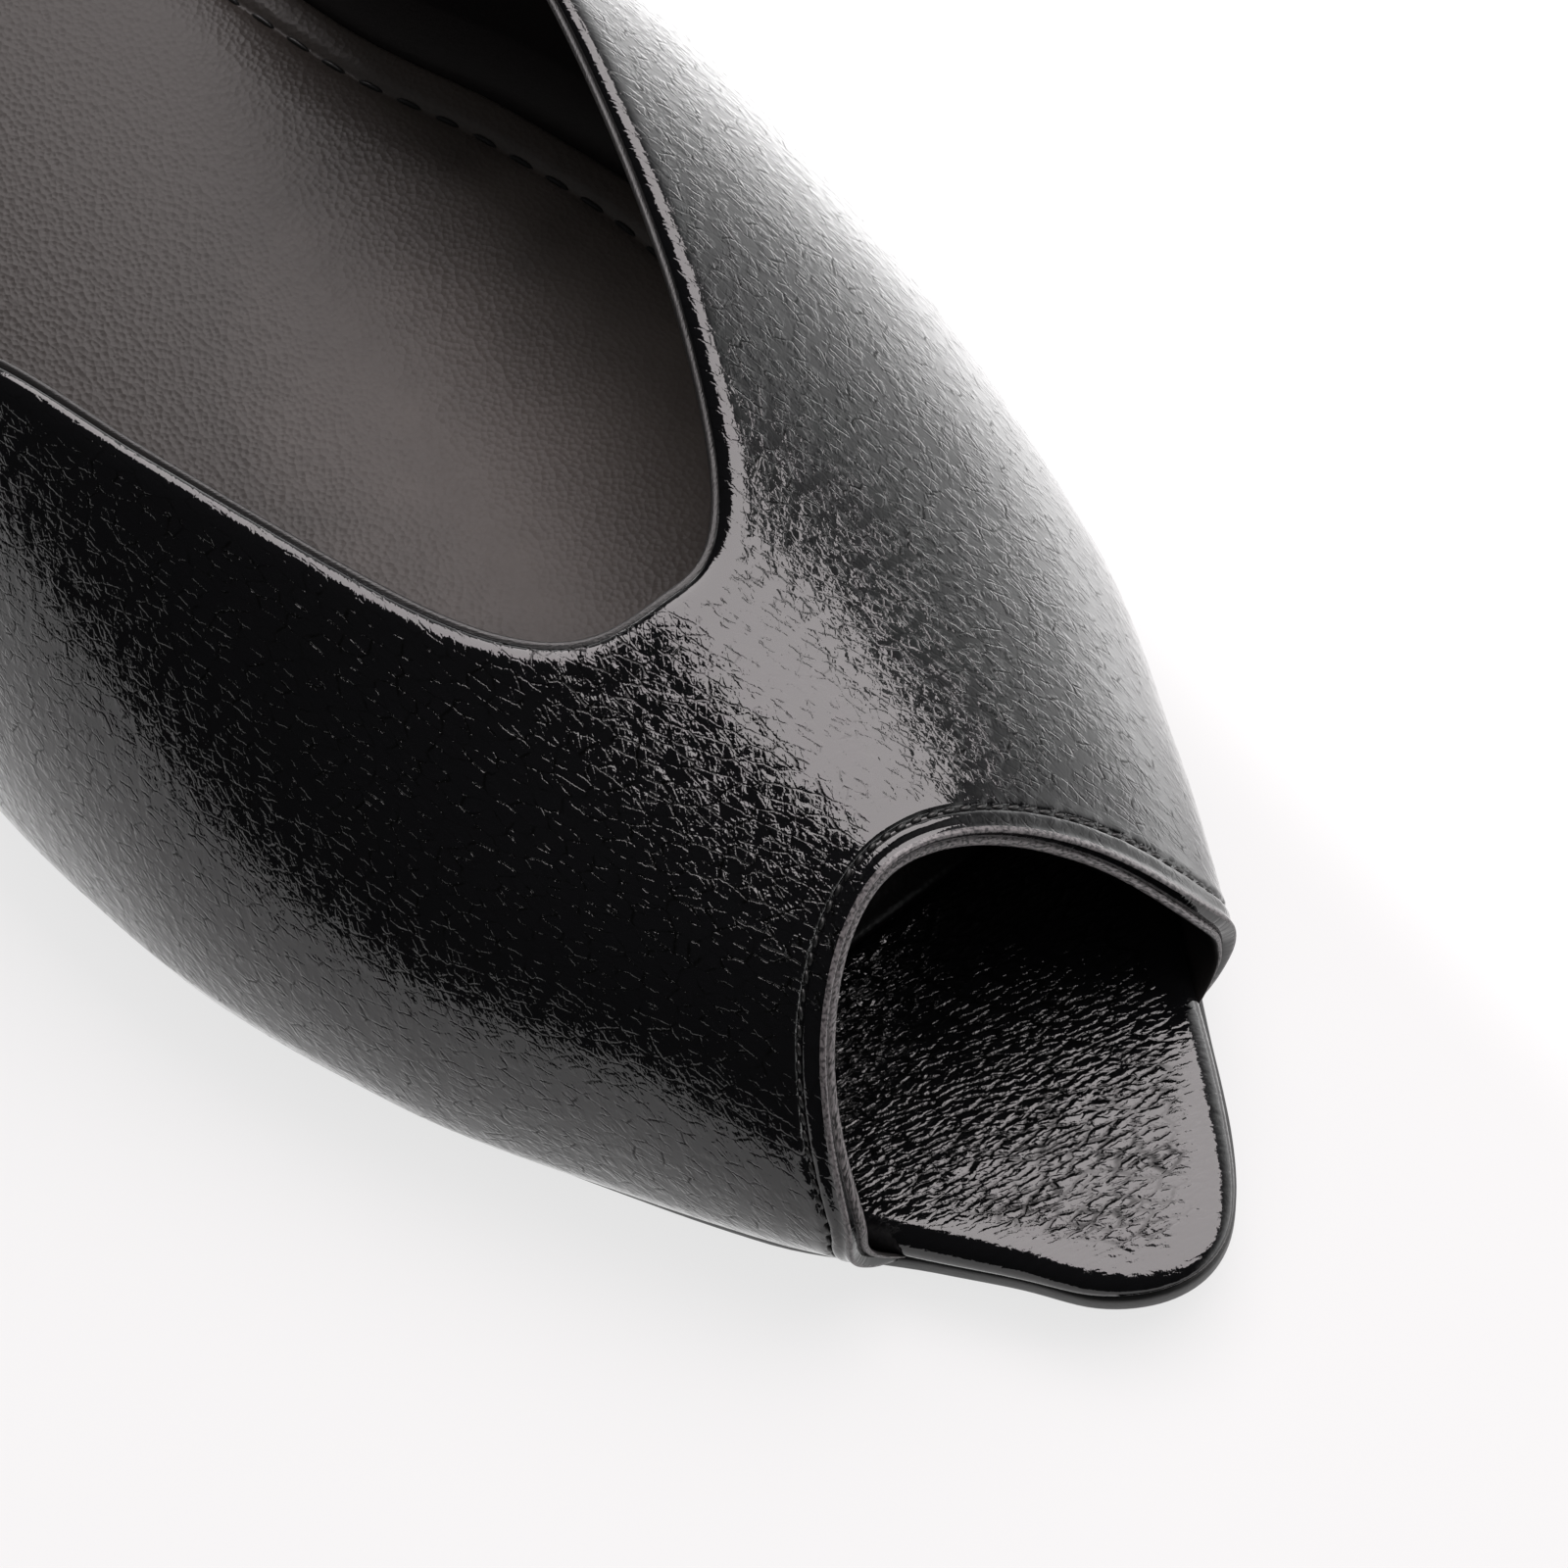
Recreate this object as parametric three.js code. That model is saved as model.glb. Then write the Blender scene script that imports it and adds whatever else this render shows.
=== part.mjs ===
// A right-foot peep-toe mule with a low block heel, in millimetres, +Z up.
// The toe points along -Y, the medial side (the big toe's side) is +X, and the shoe stands on z = 0.
// The origin is at the middle of the shoe's outline, on the floor.
import * as THREE from "three";

// Overall sizes
const insoleLength = 258; // toe tip to heel end, level
const ballWidth = 78; // insole, across the ball
const instepHeight = 57.5; // ridge of the last above the insole, where it is highest
const toeSpring = 4.5; // underside of the outsole above the floor, at the toe tip
const springCurve = 1.25; // how evenly the toe spring comes up from the tread
const heelRise = 27; // underside of the insole stack above the tread, at the heel end

// Where the sole touches the floor, measured from the toe tip
const treadFront = 50;
const treadBack = 98;

// Sole stack
const outsoleThickness = 2.0;
const insoleThickness = 3.2;
const sockThickness = 1.4;
const outsoleMedialLip = 0.4; // outsole beyond the insole's edge at the bare toe, medial side
const outsoleLateralLip = -0.3; // and on the lateral side, where it lies inside the edge
const outsoleLip = 1.0; // beyond the edge where it carries the upper
const outsoleWaistInset = 0.6; // inside the edge behind the upper
const lipRun = 10; // length over which one lip turns into the next
const insoleEdgeRadius = 2.1; // the wrapped top edge
const insoleLowerRadius = 0.7;
const outsoleEdgeRadius = 0.5;
const sockInset = 1.1; // sock lining inside the insole's edge
const sockFront = 41; // the sock's front edge, hidden under the vamp
const clearance = 0.3; // between neighbouring pieces

// Upper
const upperWall = 1.8; // leather, interlining and lining together
const featherWall = 1.1; // thinner where it is lasted in beside the insole
const wallBulge = 6.3; // outer skin beyond the insole's edge, where it is widest
const bulgeRise = 2.8; // the widest line above the insole
const tuckFullness = 0.62; // how high the section turns in below its widest line
const sideFullness = 0.71; // handle lengths of the section's curve, as shares of height and width
const crownFullness = 0.334;
const peepLateralCorner = 17.2; // the peep opening's lower corners and top, from the toe tip
const peepMedialCorner = 19.1;
const peepTop = 32.4;
const peepLateralSweep = 2.68; // how late the opening's edge sweeps back as it rises, on each side
const peepMedialSweep = 3.56;
const cornerLift = 1.2; // the upper's lower edge lifts by this much at the opening's corners
const cornerRun = 7; // and comes down over this length
const bandWidth = 2.6; // folded band round the peep opening
const bandRaise = 0.6;
const bandRoundness = 0.6; // lower is flatter on top
const collarTip = 60.9; // front of the foot opening, from the toe tip
const collarEnd = 166; // where the opening's edge comes down to the sole, on both sides
const collarLateralSweep = 4.0; // how late the edge sweeps back as it leaves the ridge
const collarMedialSweep = 2.78;
const collarLateralTurn = 0.045; // how late it then turns down towards the sole
const collarMedialTurn = 0.088;

// Heel
const heelFront = 209; // breast of the heel, from the toe tip
const heelInset = 1.2; // seat of the heel inside the insole's edge
const heelTaperFront = 4; // the foot of the heel is this much shorter at the front
const heelTaperBack = 5; // and at the back
const heelTaperSide = 3.6; // and at each side
const heelCurve = 1.6; // how much of the taper comes near the seat
const topPieceThickness = 4.2;
const breastHollow = 1.6; // how far the breast curves in, halfway up

// Insole outline: station as a share of insoleLength, and each edge's distance from the
// centre line as a share of ballWidth
const outlineRows = [
  { station: 0.0, medial: 0.055, lateral: -0.055 },
  { station: 0.004, medial: 0.103, lateral: -0.003 },
  { station: 0.0155, medial: 0.146, lateral: 0.046 },
  { station: 0.035, medial: 0.192, lateral: 0.089 },
  { station: 0.0775, medial: 0.273, lateral: 0.184 },
  { station: 0.14, medial: 0.376, lateral: 0.296 },
  { station: 0.217, medial: 0.468, lateral: 0.405 },
  { station: 0.314, medial: 0.502, lateral: 0.479 },
  { station: 0.38, medial: 0.507, lateral: 0.493 },
  { station: 0.426, medial: 0.499, lateral: 0.493 },
  { station: 0.492, medial: 0.444, lateral: 0.466 },
  { station: 0.558, medial: 0.352, lateral: 0.42 },
  { station: 0.64, medial: 0.292, lateral: 0.378 },
  { station: 0.736, medial: 0.29, lateral: 0.356 },
  { station: 0.833, medial: 0.3, lateral: 0.353 },
  { station: 0.911, medial: 0.27, lateral: 0.32 },
  { station: 0.965, medial: 0.18, lateral: 0.226 },
  { station: 1.0, medial: -0.026, lateral: 0.026 },
];

// Last sections: ridge height above the insole as a share of instepHeight, ridge offset to
// the medial side as a share of ballWidth, and bulge as a share of wallBulge
const sectionRows = [
  { station: 0.0, height: 0.051, ridge: 0.035, bulge: 0.543 },
  { station: 0.07, height: 0.236, ridge: 0.032, bulge: 0.544 },
  { station: 0.105, height: 0.388, ridge: 0.021, bulge: 0.555 },
  { station: 0.14, height: 0.491, ridge: 0.012, bulge: 0.587 },
  { station: 0.178, height: 0.533, ridge: 0.013, bulge: 0.660 },
  { station: 0.217, height: 0.568, ridge: 0.018, bulge: 0.771 },
  { station: 0.26, height: 0.654, ridge: 0.026, bulge: 0.881 },
  { station: 0.314, height: 0.798, ridge: 0.031, bulge: 0.977 },
  { station: 0.37, height: 0.912, ridge: 0.033, bulge: 0.998 },
  { station: 0.426, height: 0.997, ridge: 0.033, bulge: 0.971 },
  { station: 0.484, height: 1.006, ridge: 0.030, bulge: 0.927 },
  { station: 0.558, height: 0.963, ridge: 0.020, bulge: 0.859 },
  { station: 0.7, height: 0.834, ridge: 0.002, bulge: 0.711 },
  { station: 1.0, height: 0.611, ridge: -0.020, bulge: 0.714 },
];

const clamp = THREE.MathUtils.clamp;
const lerp = THREE.MathUtils.lerp;
const smoothstep = THREE.MathUtils.smoothstep;

// Smooth curve through rows that never overshoots them, with x kept inside its ends
function curveThrough(xs, ys) {
  const last = xs.length - 1;
  const slopes = xs.slice(1).map((x, i) => (ys[i + 1] - ys[i]) / (x - xs[i]));
  const tangents = xs.map((_, i) => {
    if (i === 0) return slopes[0];
    if (i === last) return slopes[last - 1];
    if (slopes[i - 1] * slopes[i] <= 0) return 0;
    const before = xs[i] - xs[i - 1];
    const after = xs[i + 1] - xs[i];
    const weight = 3 * (before + after);
    return weight / ((2 * after + before) / slopes[i - 1] + (after + 2 * before) / slopes[i]);
  });
  return (at) => {
    const x = clamp(at, xs[0], xs[last]);
    let i = 0;
    while (i < last - 1 && x > xs[i + 1]) i += 1;
    const width = xs[i + 1] - xs[i];
    const t = (x - xs[i]) / width;
    const rise = ys[i + 1] - ys[i];
    const a = tangents[i] * width - rise;
    const b = rise - tangents[i + 1] * width;
    return ys[i] + rise * t + t * (1 - t) * (a * (1 - t) + b * t);
  };
}

// Stations bunch up at the toe and heel ends, where the outline is round
const roundEnds = (share) => Math.acos(1 - 2 * clamp(share, 0, 1)) / Math.PI;
const fromRoundEnds = (u) => (1 - Math.cos(Math.PI * u)) / 2;
const outlineUs = outlineRows.map((row) => roundEnds(row.station));
const medialEdge = curveThrough(outlineUs, outlineRows.map((row) => row.medial));
const lateralEdge = curveThrough(outlineUs, outlineRows.map((row) => row.lateral));
const sectionStations = sectionRows.map((row) => row.station);
const sectionColumn = (name) => curveThrough(sectionStations, sectionRows.map((row) => row[name]));
const ridgeHeight = sectionColumn("height");
const ridgeOffset = sectionColumn("ridge");
const bulgeShare = sectionColumn("bulge");

// Sideways place of the insole's edge: side is 1 for medial and -1 for lateral
function edgeX(y, side) {
  const u = roundEnds(y / insoleLength);
  return side * ballWidth * (side > 0 ? medialEdge(u) : lateralEdge(u));
}

// Underside of the outsole: toe spring, flat tread, and the rise to the heel seat
function soleZ(y) {
  const ahead = (treadFront - Math.max(y, 0)) / treadFront;
  if (ahead > 0) return toeSpring * Math.pow(ahead, springCurve);
  return heelRise * smoothstep(y, treadBack, insoleLength);
}
const outsoleTopZ = (y) => soleZ(y) + outsoleThickness;
const insoleBottomZ = (y) => outsoleTopZ(y) + clearance;
const insoleTopZ = (y) => insoleBottomZ(y) + insoleThickness;

// The edge of a slab seen from above, offset outwards by grow: matching lateral and medial
// points from front to back
function outlinePairs(front, back, count, grow) {
  const points = [];
  for (let i = 0; i <= count; i += 1) {
    const y = lerp(front, back, fromRoundEnds(i / count));
    points.push([-1, 1].map((side) => offsetEdge(y, side, grow(y, side))));
  }
  return points;
}

// A point of the insole's edge moved along its own outward normal
function offsetEdge(y, side, distance) {
  const step = 0.2;
  const low = Math.max(y - step, 0);
  const high = Math.min(y + step, insoleLength);
  const along = new THREE.Vector2(edgeX(high, side) - edgeX(low, side), high - low).normalize();
  if (y <= 0 || y >= insoleLength) along.set(side, 0).multiplyScalar(y <= 0 ? 1 : -1);
  const normal = new THREE.Vector2(along.y, -along.x).multiplyScalar(side);
  return new THREE.Vector2(edgeX(y, side) + normal.x * distance, y + normal.y * distance);
}

// One closed body from rings of the same number of points, with strips between neighbours.
// Each ring goes up the lateral side, front to back, and returns along the medial side. The
// two end rings are capped.
function ringBody(rings) {
  const count = rings[0].length;
  const positions = rings.flat().flatMap((p) => [p.x, p.y, p.z]);
  const index = [];
  const at = (ring, i) => ring * count + (i % count);
  for (let ring = 0; ring + 1 < rings.length; ring += 1) {
    for (let i = 0; i < count; i += 1) {
      index.push(at(ring, i), at(ring + 1, i), at(ring, i + 1));
      index.push(at(ring, i + 1), at(ring + 1, i), at(ring + 1, i + 1));
    }
  }
  for (const ring of [0, rings.length - 1]) {
    for (let i = 0; i < count / 2 - 1; i += 1) {
      const quad = [at(ring, i), at(ring, i + 1), at(ring, count - 2 - i), at(ring, count - 1 - i)];
      if (ring === 0) quad.reverse();
      index.push(quad[0], quad[2], quad[1], quad[0], quad[3], quad[2]);
    }
  }
  return solidGeometry(positions, index);
}

// Faces are turned to point outwards, whichever way the rings ran
function solidGeometry(positions, index) {
  const geometry = new THREE.BufferGeometry();
  geometry.setAttribute("position", new THREE.Float32BufferAttribute(positions, 3));
  let volume = 0;
  const corner = [0, 1, 2].map(() => new THREE.Vector3());
  for (let i = 0; i < index.length; i += 3) {
    corner.forEach((c, k) => c.fromArray(positions, index[i + k] * 3));
    volume += corner[0].dot(corner[1].clone().cross(corner[2]));
  }
  geometry.setIndex(volume < 0 ? index.reverse() : index);
  geometry.computeVertexNormals();
  return geometry;
}

// A slab that follows the sole: each layer is a ring with its inset from the edge and its
// height above the outsole's underside
function slab({ front, back, count, grow, layers }) {
  const rings = layers.map(({ inset, height }) => {
    const frontGap = front > 0 ? inset : 0;
    const backGap = back < insoleLength ? inset : 0;
    const edge = (y, side) => grow(y, side) - inset;
    const pairs = outlinePairs(front + frontGap, back - backGap, count, edge);
    const ring = [...pairs.map((p) => p[0]), ...pairs.map((p) => p[1]).reverse()];
    return ring.map((p) => new THREE.Vector3(p.x, p.y, soleZ(p.y) + height));
  });
  return ringBody(rings);
}

// Three layers that round one edge of a slab, from its inset face to its side
function roundedEdge(radius, faceHeight, inward) {
  return [0, 45, 90].map((degrees) => {
    const angle = THREE.MathUtils.degToRad(degrees);
    return {
      inset: radius * (1 - Math.sin(angle)),
      height: faceHeight + inward * radius * (1 - Math.cos(angle)),
    };
  });
}

function outsoleGrow(y, side) {
  const pastTip = smoothstep(y, 0, lipRun);
  const middleLip = (outsoleMedialLip + outsoleLateralLip) / 2;
  const toeLip = lerp(middleLip, side > 0 ? outsoleMedialLip : outsoleLateralLip, pastTip);
  const corner = Math.min(peepLateralCorner, peepMedialCorner);
  const underUpper = smoothstep(y, corner - lipRun / 4, corner + lipRun);
  const behindUpper = smoothstep(y, collarEnd - lipRun / 4, collarEnd + lipRun);
  return lerp(lerp(toeLip, outsoleLip, underUpper), -outsoleWaistInset, behindUpper);
}

function buildOutsole() {
  return slab({
    front: 0,
    back: heelFront - clearance,
    count: 34,
    grow: outsoleGrow,
    layers: [
      ...roundedEdge(outsoleEdgeRadius, 0, 1),
      ...roundedEdge(outsoleEdgeRadius, outsoleThickness, -1).reverse(),
    ],
  });
}

function buildInsole() {
  const bottom = outsoleThickness + clearance;
  return slab({
    front: 0,
    back: insoleLength,
    count: 36,
    grow: () => 0,
    layers: [
      ...roundedEdge(insoleLowerRadius, bottom, 1),
      ...roundedEdge(insoleEdgeRadius, bottom + insoleThickness, -1).reverse(),
    ],
  });
}

function buildSock() {
  const bottom = outsoleThickness + clearance + insoleThickness + clearance;
  const edge = sockThickness * 0.6;
  return slab({
    front: sockFront,
    back: insoleLength,
    count: 30,
    grow: () => -sockInset,
    layers: [
      { inset: 0, height: bottom },
      { inset: 0, height: bottom + sockThickness - edge },
      { inset: edge, height: bottom + sockThickness },
    ],
  });
}

// Lower edge of the upper, beside the insole
function featherZ(y, side) {
  const corner = side > 0 ? peepMedialCorner : peepLateralCorner;
  return outsoleTopZ(y) + clearance + cornerLift * (1 - smoothstep(y, corner, corner + cornerRun));
}

// Outer skin of the last at station y on one side. part runs from 0 at the feather edge, over
// the widest line at tuckShare, to 1 on the ridge.
const tuckShare = 0.2;
const step = 0.5;
function skinPoint(y, side, part) {
  const share = y / insoleLength;
  const slope = (edgeX(y + step, side) - edgeX(y - step, side)) / (2 * step);
  const sideways = Math.sqrt(1 + slope * slope);
  const edge = edgeX(y, side);
  const ridgeX = ridgeOffset(share) * ballWidth;
  const base = insoleTopZ(y);
  const point = (x, z) => new THREE.Vector2(x, z);
  const feather = point(edge + side * (clearance + featherWall) * sideways, featherZ(y, side));
  const bulge = bulgeShare(share) * wallBulge * sideways;
  const widest = point(edge + side * bulge, base + bulgeRise);
  const ridge = point(ridgeX, base + ridgeHeight(share) * instepHeight);
  const rise = ridge.y - widest.y;
  const reach = widest.x - ridge.x;
  let p;
  if (part < tuckShare) {
    const turn = point(widest.x, lerp(feather.y, widest.y, tuckFullness));
    p = new THREE.QuadraticBezierCurve(feather, turn, widest).getPoint(part / tuckShare);
  } else {
    const shoulder = point(widest.x, widest.y + sideFullness * rise);
    const crown = point(ridge.x + crownFullness * reach, ridge.y);
    const curve = new THREE.CubicBezierCurve(widest, shoulder, crown, ridge);
    p = curve.getPoint((part - tuckShare) / (1 - tuckShare));
  }
  return new THREE.Vector3(p.x, y, p.y);
}

// Outward normal of the skin, found from two short steps on it
function skinNormal(y, side, part) {
  const partStep = 0.01;
  const low = Math.max(part - partStep, 0);
  const high = Math.min(part + partStep, 1);
  const across = skinPoint(y, side, high).sub(skinPoint(y, side, low));
  const along = skinPoint(y + step, side, part).sub(skinPoint(y - step, side, part));
  if (part > 1 - partStep) across.set(-side, 0, 0); // both sides share a level ridge
  return along.cross(across).multiplyScalar(side).normalize();
}

// Front edge of the upper: the peep opening, by height on the section
function peepEdgeY(side, part) {
  const corner = side > 0 ? peepMedialCorner : peepLateralCorner;
  if (part <= tuckShare) return corner;
  const t = (part - tuckShare) / (1 - tuckShare);
  const climb = 3 * t * (1 - t) * (1 - t) * sideFullness + 3 * t * t * (1 - t) + t * t * t;
  return corner + (peepTop - corner) * Math.pow(climb, side > 0 ? peepMedialSweep : peepLateralSweep);
}

// Rear edge of the upper, the foot opening: it leaves the throat's tip on the ridge, sweeps
// back over the instep and turns down to the sole
function collarEdgeY(side, part) {
  const down = Math.pow(1 - part, side > 0 ? collarMedialSweep : collarLateralSweep);
  const turn = side > 0 ? collarMedialTurn : collarLateralTurn;
  return lerp(collarTip, collarEnd, (down * (1 + turn)) / (down + turn));
}

// Height of the folded band above the skin, by distance from the peep opening's edge
function bandHeight(distance) {
  const across = clamp(distance / bandWidth, 0, 1);
  return bandRaise * Math.pow(Math.sin(Math.PI * across), bandRoundness);
}

function buildUpper() {
  const bandSteps = 4;
  const bodySteps = 25;
  const sideSteps = 28;
  const parts = [0, 0.07, 0.135, 0.2];
  for (let i = 1; i <= sideSteps; i += 1) parts.push(lerp(tuckShare, 1, i / sideSteps));
  const columns = [
    ...parts.map((part) => ({ side: -1, part })),
    ...parts.slice(0, -1).reverse().map((part) => ({ side: 1, part })),
  ];
  const outer = [];
  const inner = [];
  for (const { side, part } of columns) {
    const front = peepEdgeY(side, part);
    const back = collarEdgeY(side, part);
    for (let row = 0; row <= bandSteps + bodySteps; row += 1) {
      const inBand = row <= bandSteps;
      const distance = inBand
        ? (bandWidth * row) / bandSteps
        : lerp(bandWidth, back - front, (row - bandSteps) / bodySteps);
      const y = front + distance;
      const point = skinPoint(y, side, part);
      const normal = skinNormal(y, side, part);
      const rise = smoothstep(part, 0, tuckShare);
      const level = new THREE.Vector3(side, 0, 0);
      const direction = level.lerp(normal, rise).normalize();
      outer.push(point.clone().addScaledVector(normal, bandHeight(distance) * rise));
      inner.push(point.clone().addScaledVector(direction, -lerp(featherWall, upperWall, rise)));
    }
  }
  const rows = bandSteps + bodySteps + 1;
  const offset = outer.length;
  const index = [];
  const quad = (a, b, c, d) => index.push(a, b, c, a, c, d);
  for (let c = 0; c + 1 < columns.length; c += 1) {
    for (let r = 0; r + 1 < rows; r += 1) {
      const [a, b] = [c * rows + r, (c + 1) * rows + r];
      quad(a, a + 1, b + 1, b);
      quad(offset + a, offset + b, offset + b + 1, offset + a + 1);
    }
    const [a, b] = [c * rows, (c + 1) * rows];
    quad(a, b, offset + b, offset + a);
    const end = rows - 1;
    quad(a + end, offset + a + end, offset + b + end, b + end);
  }
  const lastColumn = (columns.length - 1) * rows;
  for (let r = 0; r + 1 < rows; r += 1) {
    quad(r, offset + r, offset + r + 1, r + 1);
    quad(lastColumn + r, lastColumn + r + 1, offset + lastColumn + r + 1, offset + lastColumn + r);
  }
  const positions = [...outer, ...inner].flatMap((p) => [p.x, p.y, p.z]);
  return solidGeometry(positions, index);
}

// Foot of the heel as a share of the way down, from its seat to the top piece
function heelRing(down, zAt, count = 18) {
  const flare = 1 - Math.pow(1 - down, heelCurve);
  const front = heelFront + heelTaperFront * flare + breastHollow * Math.sin(Math.PI * down);
  const back = insoleLength;
  const pairs = outlinePairs(front, back, count, () => -heelInset - heelTaperSide * flare);
  const ring = [...pairs.map((p) => p[0]), ...pairs.map((p) => p[1]).reverse()];
  const backShift = (heelTaperBack - heelTaperSide) * flare;
  return ring.map((p) => {
    const y = p.y - backShift * clamp((p.y - front) / (back - front), 0, 1);
    return new THREE.Vector3(p.x, y, zAt(y));
  });
}

function buildHeel() {
  const seat = (y) => insoleBottomZ(y) - clearance;
  const foot = topPieceThickness + clearance;
  const steps = 8;
  const rings = [];
  for (let i = 0; i <= steps; i += 1) {
    const down = i / steps;
    rings.push(heelRing(down, (y) => lerp(seat(y), foot, down)));
  }
  return ringBody(rings);
}

function buildTopPiece() {
  return ringBody([heelRing(1, () => topPieceThickness), heelRing(1, () => 0)]);
}

const finish = (color, roughness) => new THREE.MeshStandardMaterial({ color, roughness });
const finishes = {
  glossyLeather: finish(0x0d0d0e, 0.28),
  sockLeather: finish(0x433e3d, 0.75),
  soleUnit: finish(0x1b1a1b, 0.55),
  topPieceRubber: finish(0x151515, 0.8),
};

const shoe = new THREE.Group();
function addPiece(name, geometry, material) {
  const mesh = new THREE.Mesh(geometry, material);
  mesh.name = name;
  shoe.add(mesh);
}
addPiece("upper", buildUpper(), finishes.glossyLeather);
addPiece("insole", buildInsole(), finishes.glossyLeather);
addPiece("sock_lining", buildSock(), finishes.sockLeather);
addPiece("outsole", buildOutsole(), finishes.soleUnit);
addPiece("heel", buildHeel(), finishes.glossyLeather);
addPiece("top_piece", buildTopPiece(), finishes.topPieceRubber);

// The origin goes to the middle of the outline, on the floor
const bounds = new THREE.Box3().setFromObject(shoe);
const centre = bounds.getCenter(new THREE.Vector3());
shoe.position.set(-centre.x, -centre.y, -bounds.min.z);

export default shoe;
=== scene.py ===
import math
import random
import bmesh
import bpy
import numpy as np
from mathutils import Matrix, Vector


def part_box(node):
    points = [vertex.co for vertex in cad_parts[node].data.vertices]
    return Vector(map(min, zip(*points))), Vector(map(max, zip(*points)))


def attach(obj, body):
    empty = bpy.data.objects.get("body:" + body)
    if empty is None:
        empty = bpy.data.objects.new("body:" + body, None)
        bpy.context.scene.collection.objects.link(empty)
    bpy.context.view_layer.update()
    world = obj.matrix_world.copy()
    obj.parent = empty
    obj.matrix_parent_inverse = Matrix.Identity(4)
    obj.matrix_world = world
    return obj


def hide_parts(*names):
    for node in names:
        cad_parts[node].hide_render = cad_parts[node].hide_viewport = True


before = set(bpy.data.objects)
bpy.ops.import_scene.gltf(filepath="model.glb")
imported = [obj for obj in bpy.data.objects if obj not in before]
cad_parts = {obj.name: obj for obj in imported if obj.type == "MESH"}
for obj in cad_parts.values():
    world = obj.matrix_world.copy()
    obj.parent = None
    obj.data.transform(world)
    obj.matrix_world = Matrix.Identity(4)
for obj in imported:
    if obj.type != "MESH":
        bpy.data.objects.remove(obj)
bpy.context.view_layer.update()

mm = 0.001
random.seed(7)

# Shoe sizes, as the solids have them
shoe = {
    "length": 258.0,
    "ballWidth": 78.0,
    "instepHeight": 57.5,
    "toeSpring": 4.5,
    "springCurve": 1.25,
    "heelRise": 27.0,
    "treadFront": 50.0,
    "treadBack": 98.0,
    "outsole": 2.0,
    "insole": 3.2,
    "sock": 1.4,
    "gap": 0.3,
}

# Insole outline: share of the length, then each edge's share of the ball width from the centre line
outlineRows = [
    (0.0, 0.055, -0.055),
    (0.004, 0.103, -0.003),
    (0.0155, 0.146, 0.046),
    (0.035, 0.192, 0.089),
    (0.0775, 0.273, 0.184),
    (0.14, 0.376, 0.296),
    (0.217, 0.468, 0.405),
    (0.314, 0.502, 0.479),
    (0.38, 0.507, 0.493),
    (0.426, 0.499, 0.493),
    (0.492, 0.444, 0.466),
    (0.558, 0.352, 0.42),
    (0.64, 0.292, 0.378),
    (0.736, 0.29, 0.356),
    (0.833, 0.3, 0.353),
    (0.911, 0.27, 0.32),
    (0.965, 0.18, 0.226),
    (1.0, -0.026, 0.026),
]

# Last sections: share of the length, ridge height, ridge offset and bulge
sectionRows = [
    (0.0, 0.051, 0.035, 0.543),
    (0.07, 0.236, 0.032, 0.544),
    (0.105, 0.388, 0.021, 0.555),
    (0.14, 0.491, 0.012, 0.587),
    (0.178, 0.533, 0.013, 0.660),
    (0.217, 0.568, 0.018, 0.771),
    (0.26, 0.654, 0.026, 0.881),
    (0.314, 0.798, 0.031, 0.977),
    (0.37, 0.912, 0.033, 0.998),
    (0.426, 0.997, 0.033, 0.971),
    (0.484, 1.006, 0.030, 0.927),
    (0.558, 0.963, 0.020, 0.859),
    (0.7, 0.834, 0.002, 0.711),
    (1.0, 0.611, -0.020, 0.714),
]


def smoothCurve(xs, ys):
    xs, ys = np.array(xs, float), np.array(ys, float)
    width = np.diff(xs)
    slope = np.diff(ys) / width
    tangent = np.concatenate([slope[:1], np.zeros(len(xs) - 2), slope[-1:]])
    for i in range(1, len(xs) - 1):
        if slope[i - 1] * slope[i] > 0:
            before, after = width[i - 1], width[i]
            weight = 3 * (before + after)
            tangent[i] = weight / ((2 * after + before) / slope[i - 1] + (after + 2 * before) / slope[i])

    def at(x):
        x = np.clip(np.asarray(x, float), xs[0], xs[-1])
        i = np.clip(np.searchsorted(xs, x, side="right") - 1, 0, len(xs) - 2)
        t = (x - xs[i]) / width[i]
        rise = ys[i + 1] - ys[i]
        a = tangent[i] * width[i] - rise
        b = rise - tangent[i + 1] * width[i]
        return ys[i] + rise * t + t * (1 - t) * (a * (1 - t) + b * t)

    return at


def smoothstep(x, low, high):
    t = np.clip((np.asarray(x, float) - low) / (high - low), 0, 1)
    return t * t * (3 - 2 * t)


def roundEnds(share):
    return np.arccos(1 - 2 * np.clip(share, 0, 1)) / np.pi


outlineUs = roundEnds(np.array([row[0] for row in outlineRows]))
medialEdge = smoothCurve(outlineUs, [row[1] for row in outlineRows])
lateralEdge = smoothCurve(outlineUs, [row[2] for row in outlineRows])
ridgeHeight = smoothCurve([row[0] for row in sectionRows], [row[1] for row in sectionRows])
ridgeOffset = smoothCurve([row[0] for row in sectionRows], [row[2] for row in sectionRows])
bulgeShare = smoothCurve([row[0] for row in sectionRows], [row[3] for row in sectionRows])


def edgeX(s, side):
    u = roundEnds(np.asarray(s, float) / shoe["length"])
    return side * shoe["ballWidth"] * np.where(side > 0, medialEdge(u), lateralEdge(u))


def soleZ(s):
    s = np.asarray(s, float)
    ahead = np.clip((shoe["treadFront"] - np.maximum(s, 0)) / shoe["treadFront"], 0, 1)
    spring = shoe["toeSpring"] * ahead ** shoe["springCurve"]
    return spring + shoe["heelRise"] * smoothstep(s, shoe["treadBack"], shoe["length"])


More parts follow.
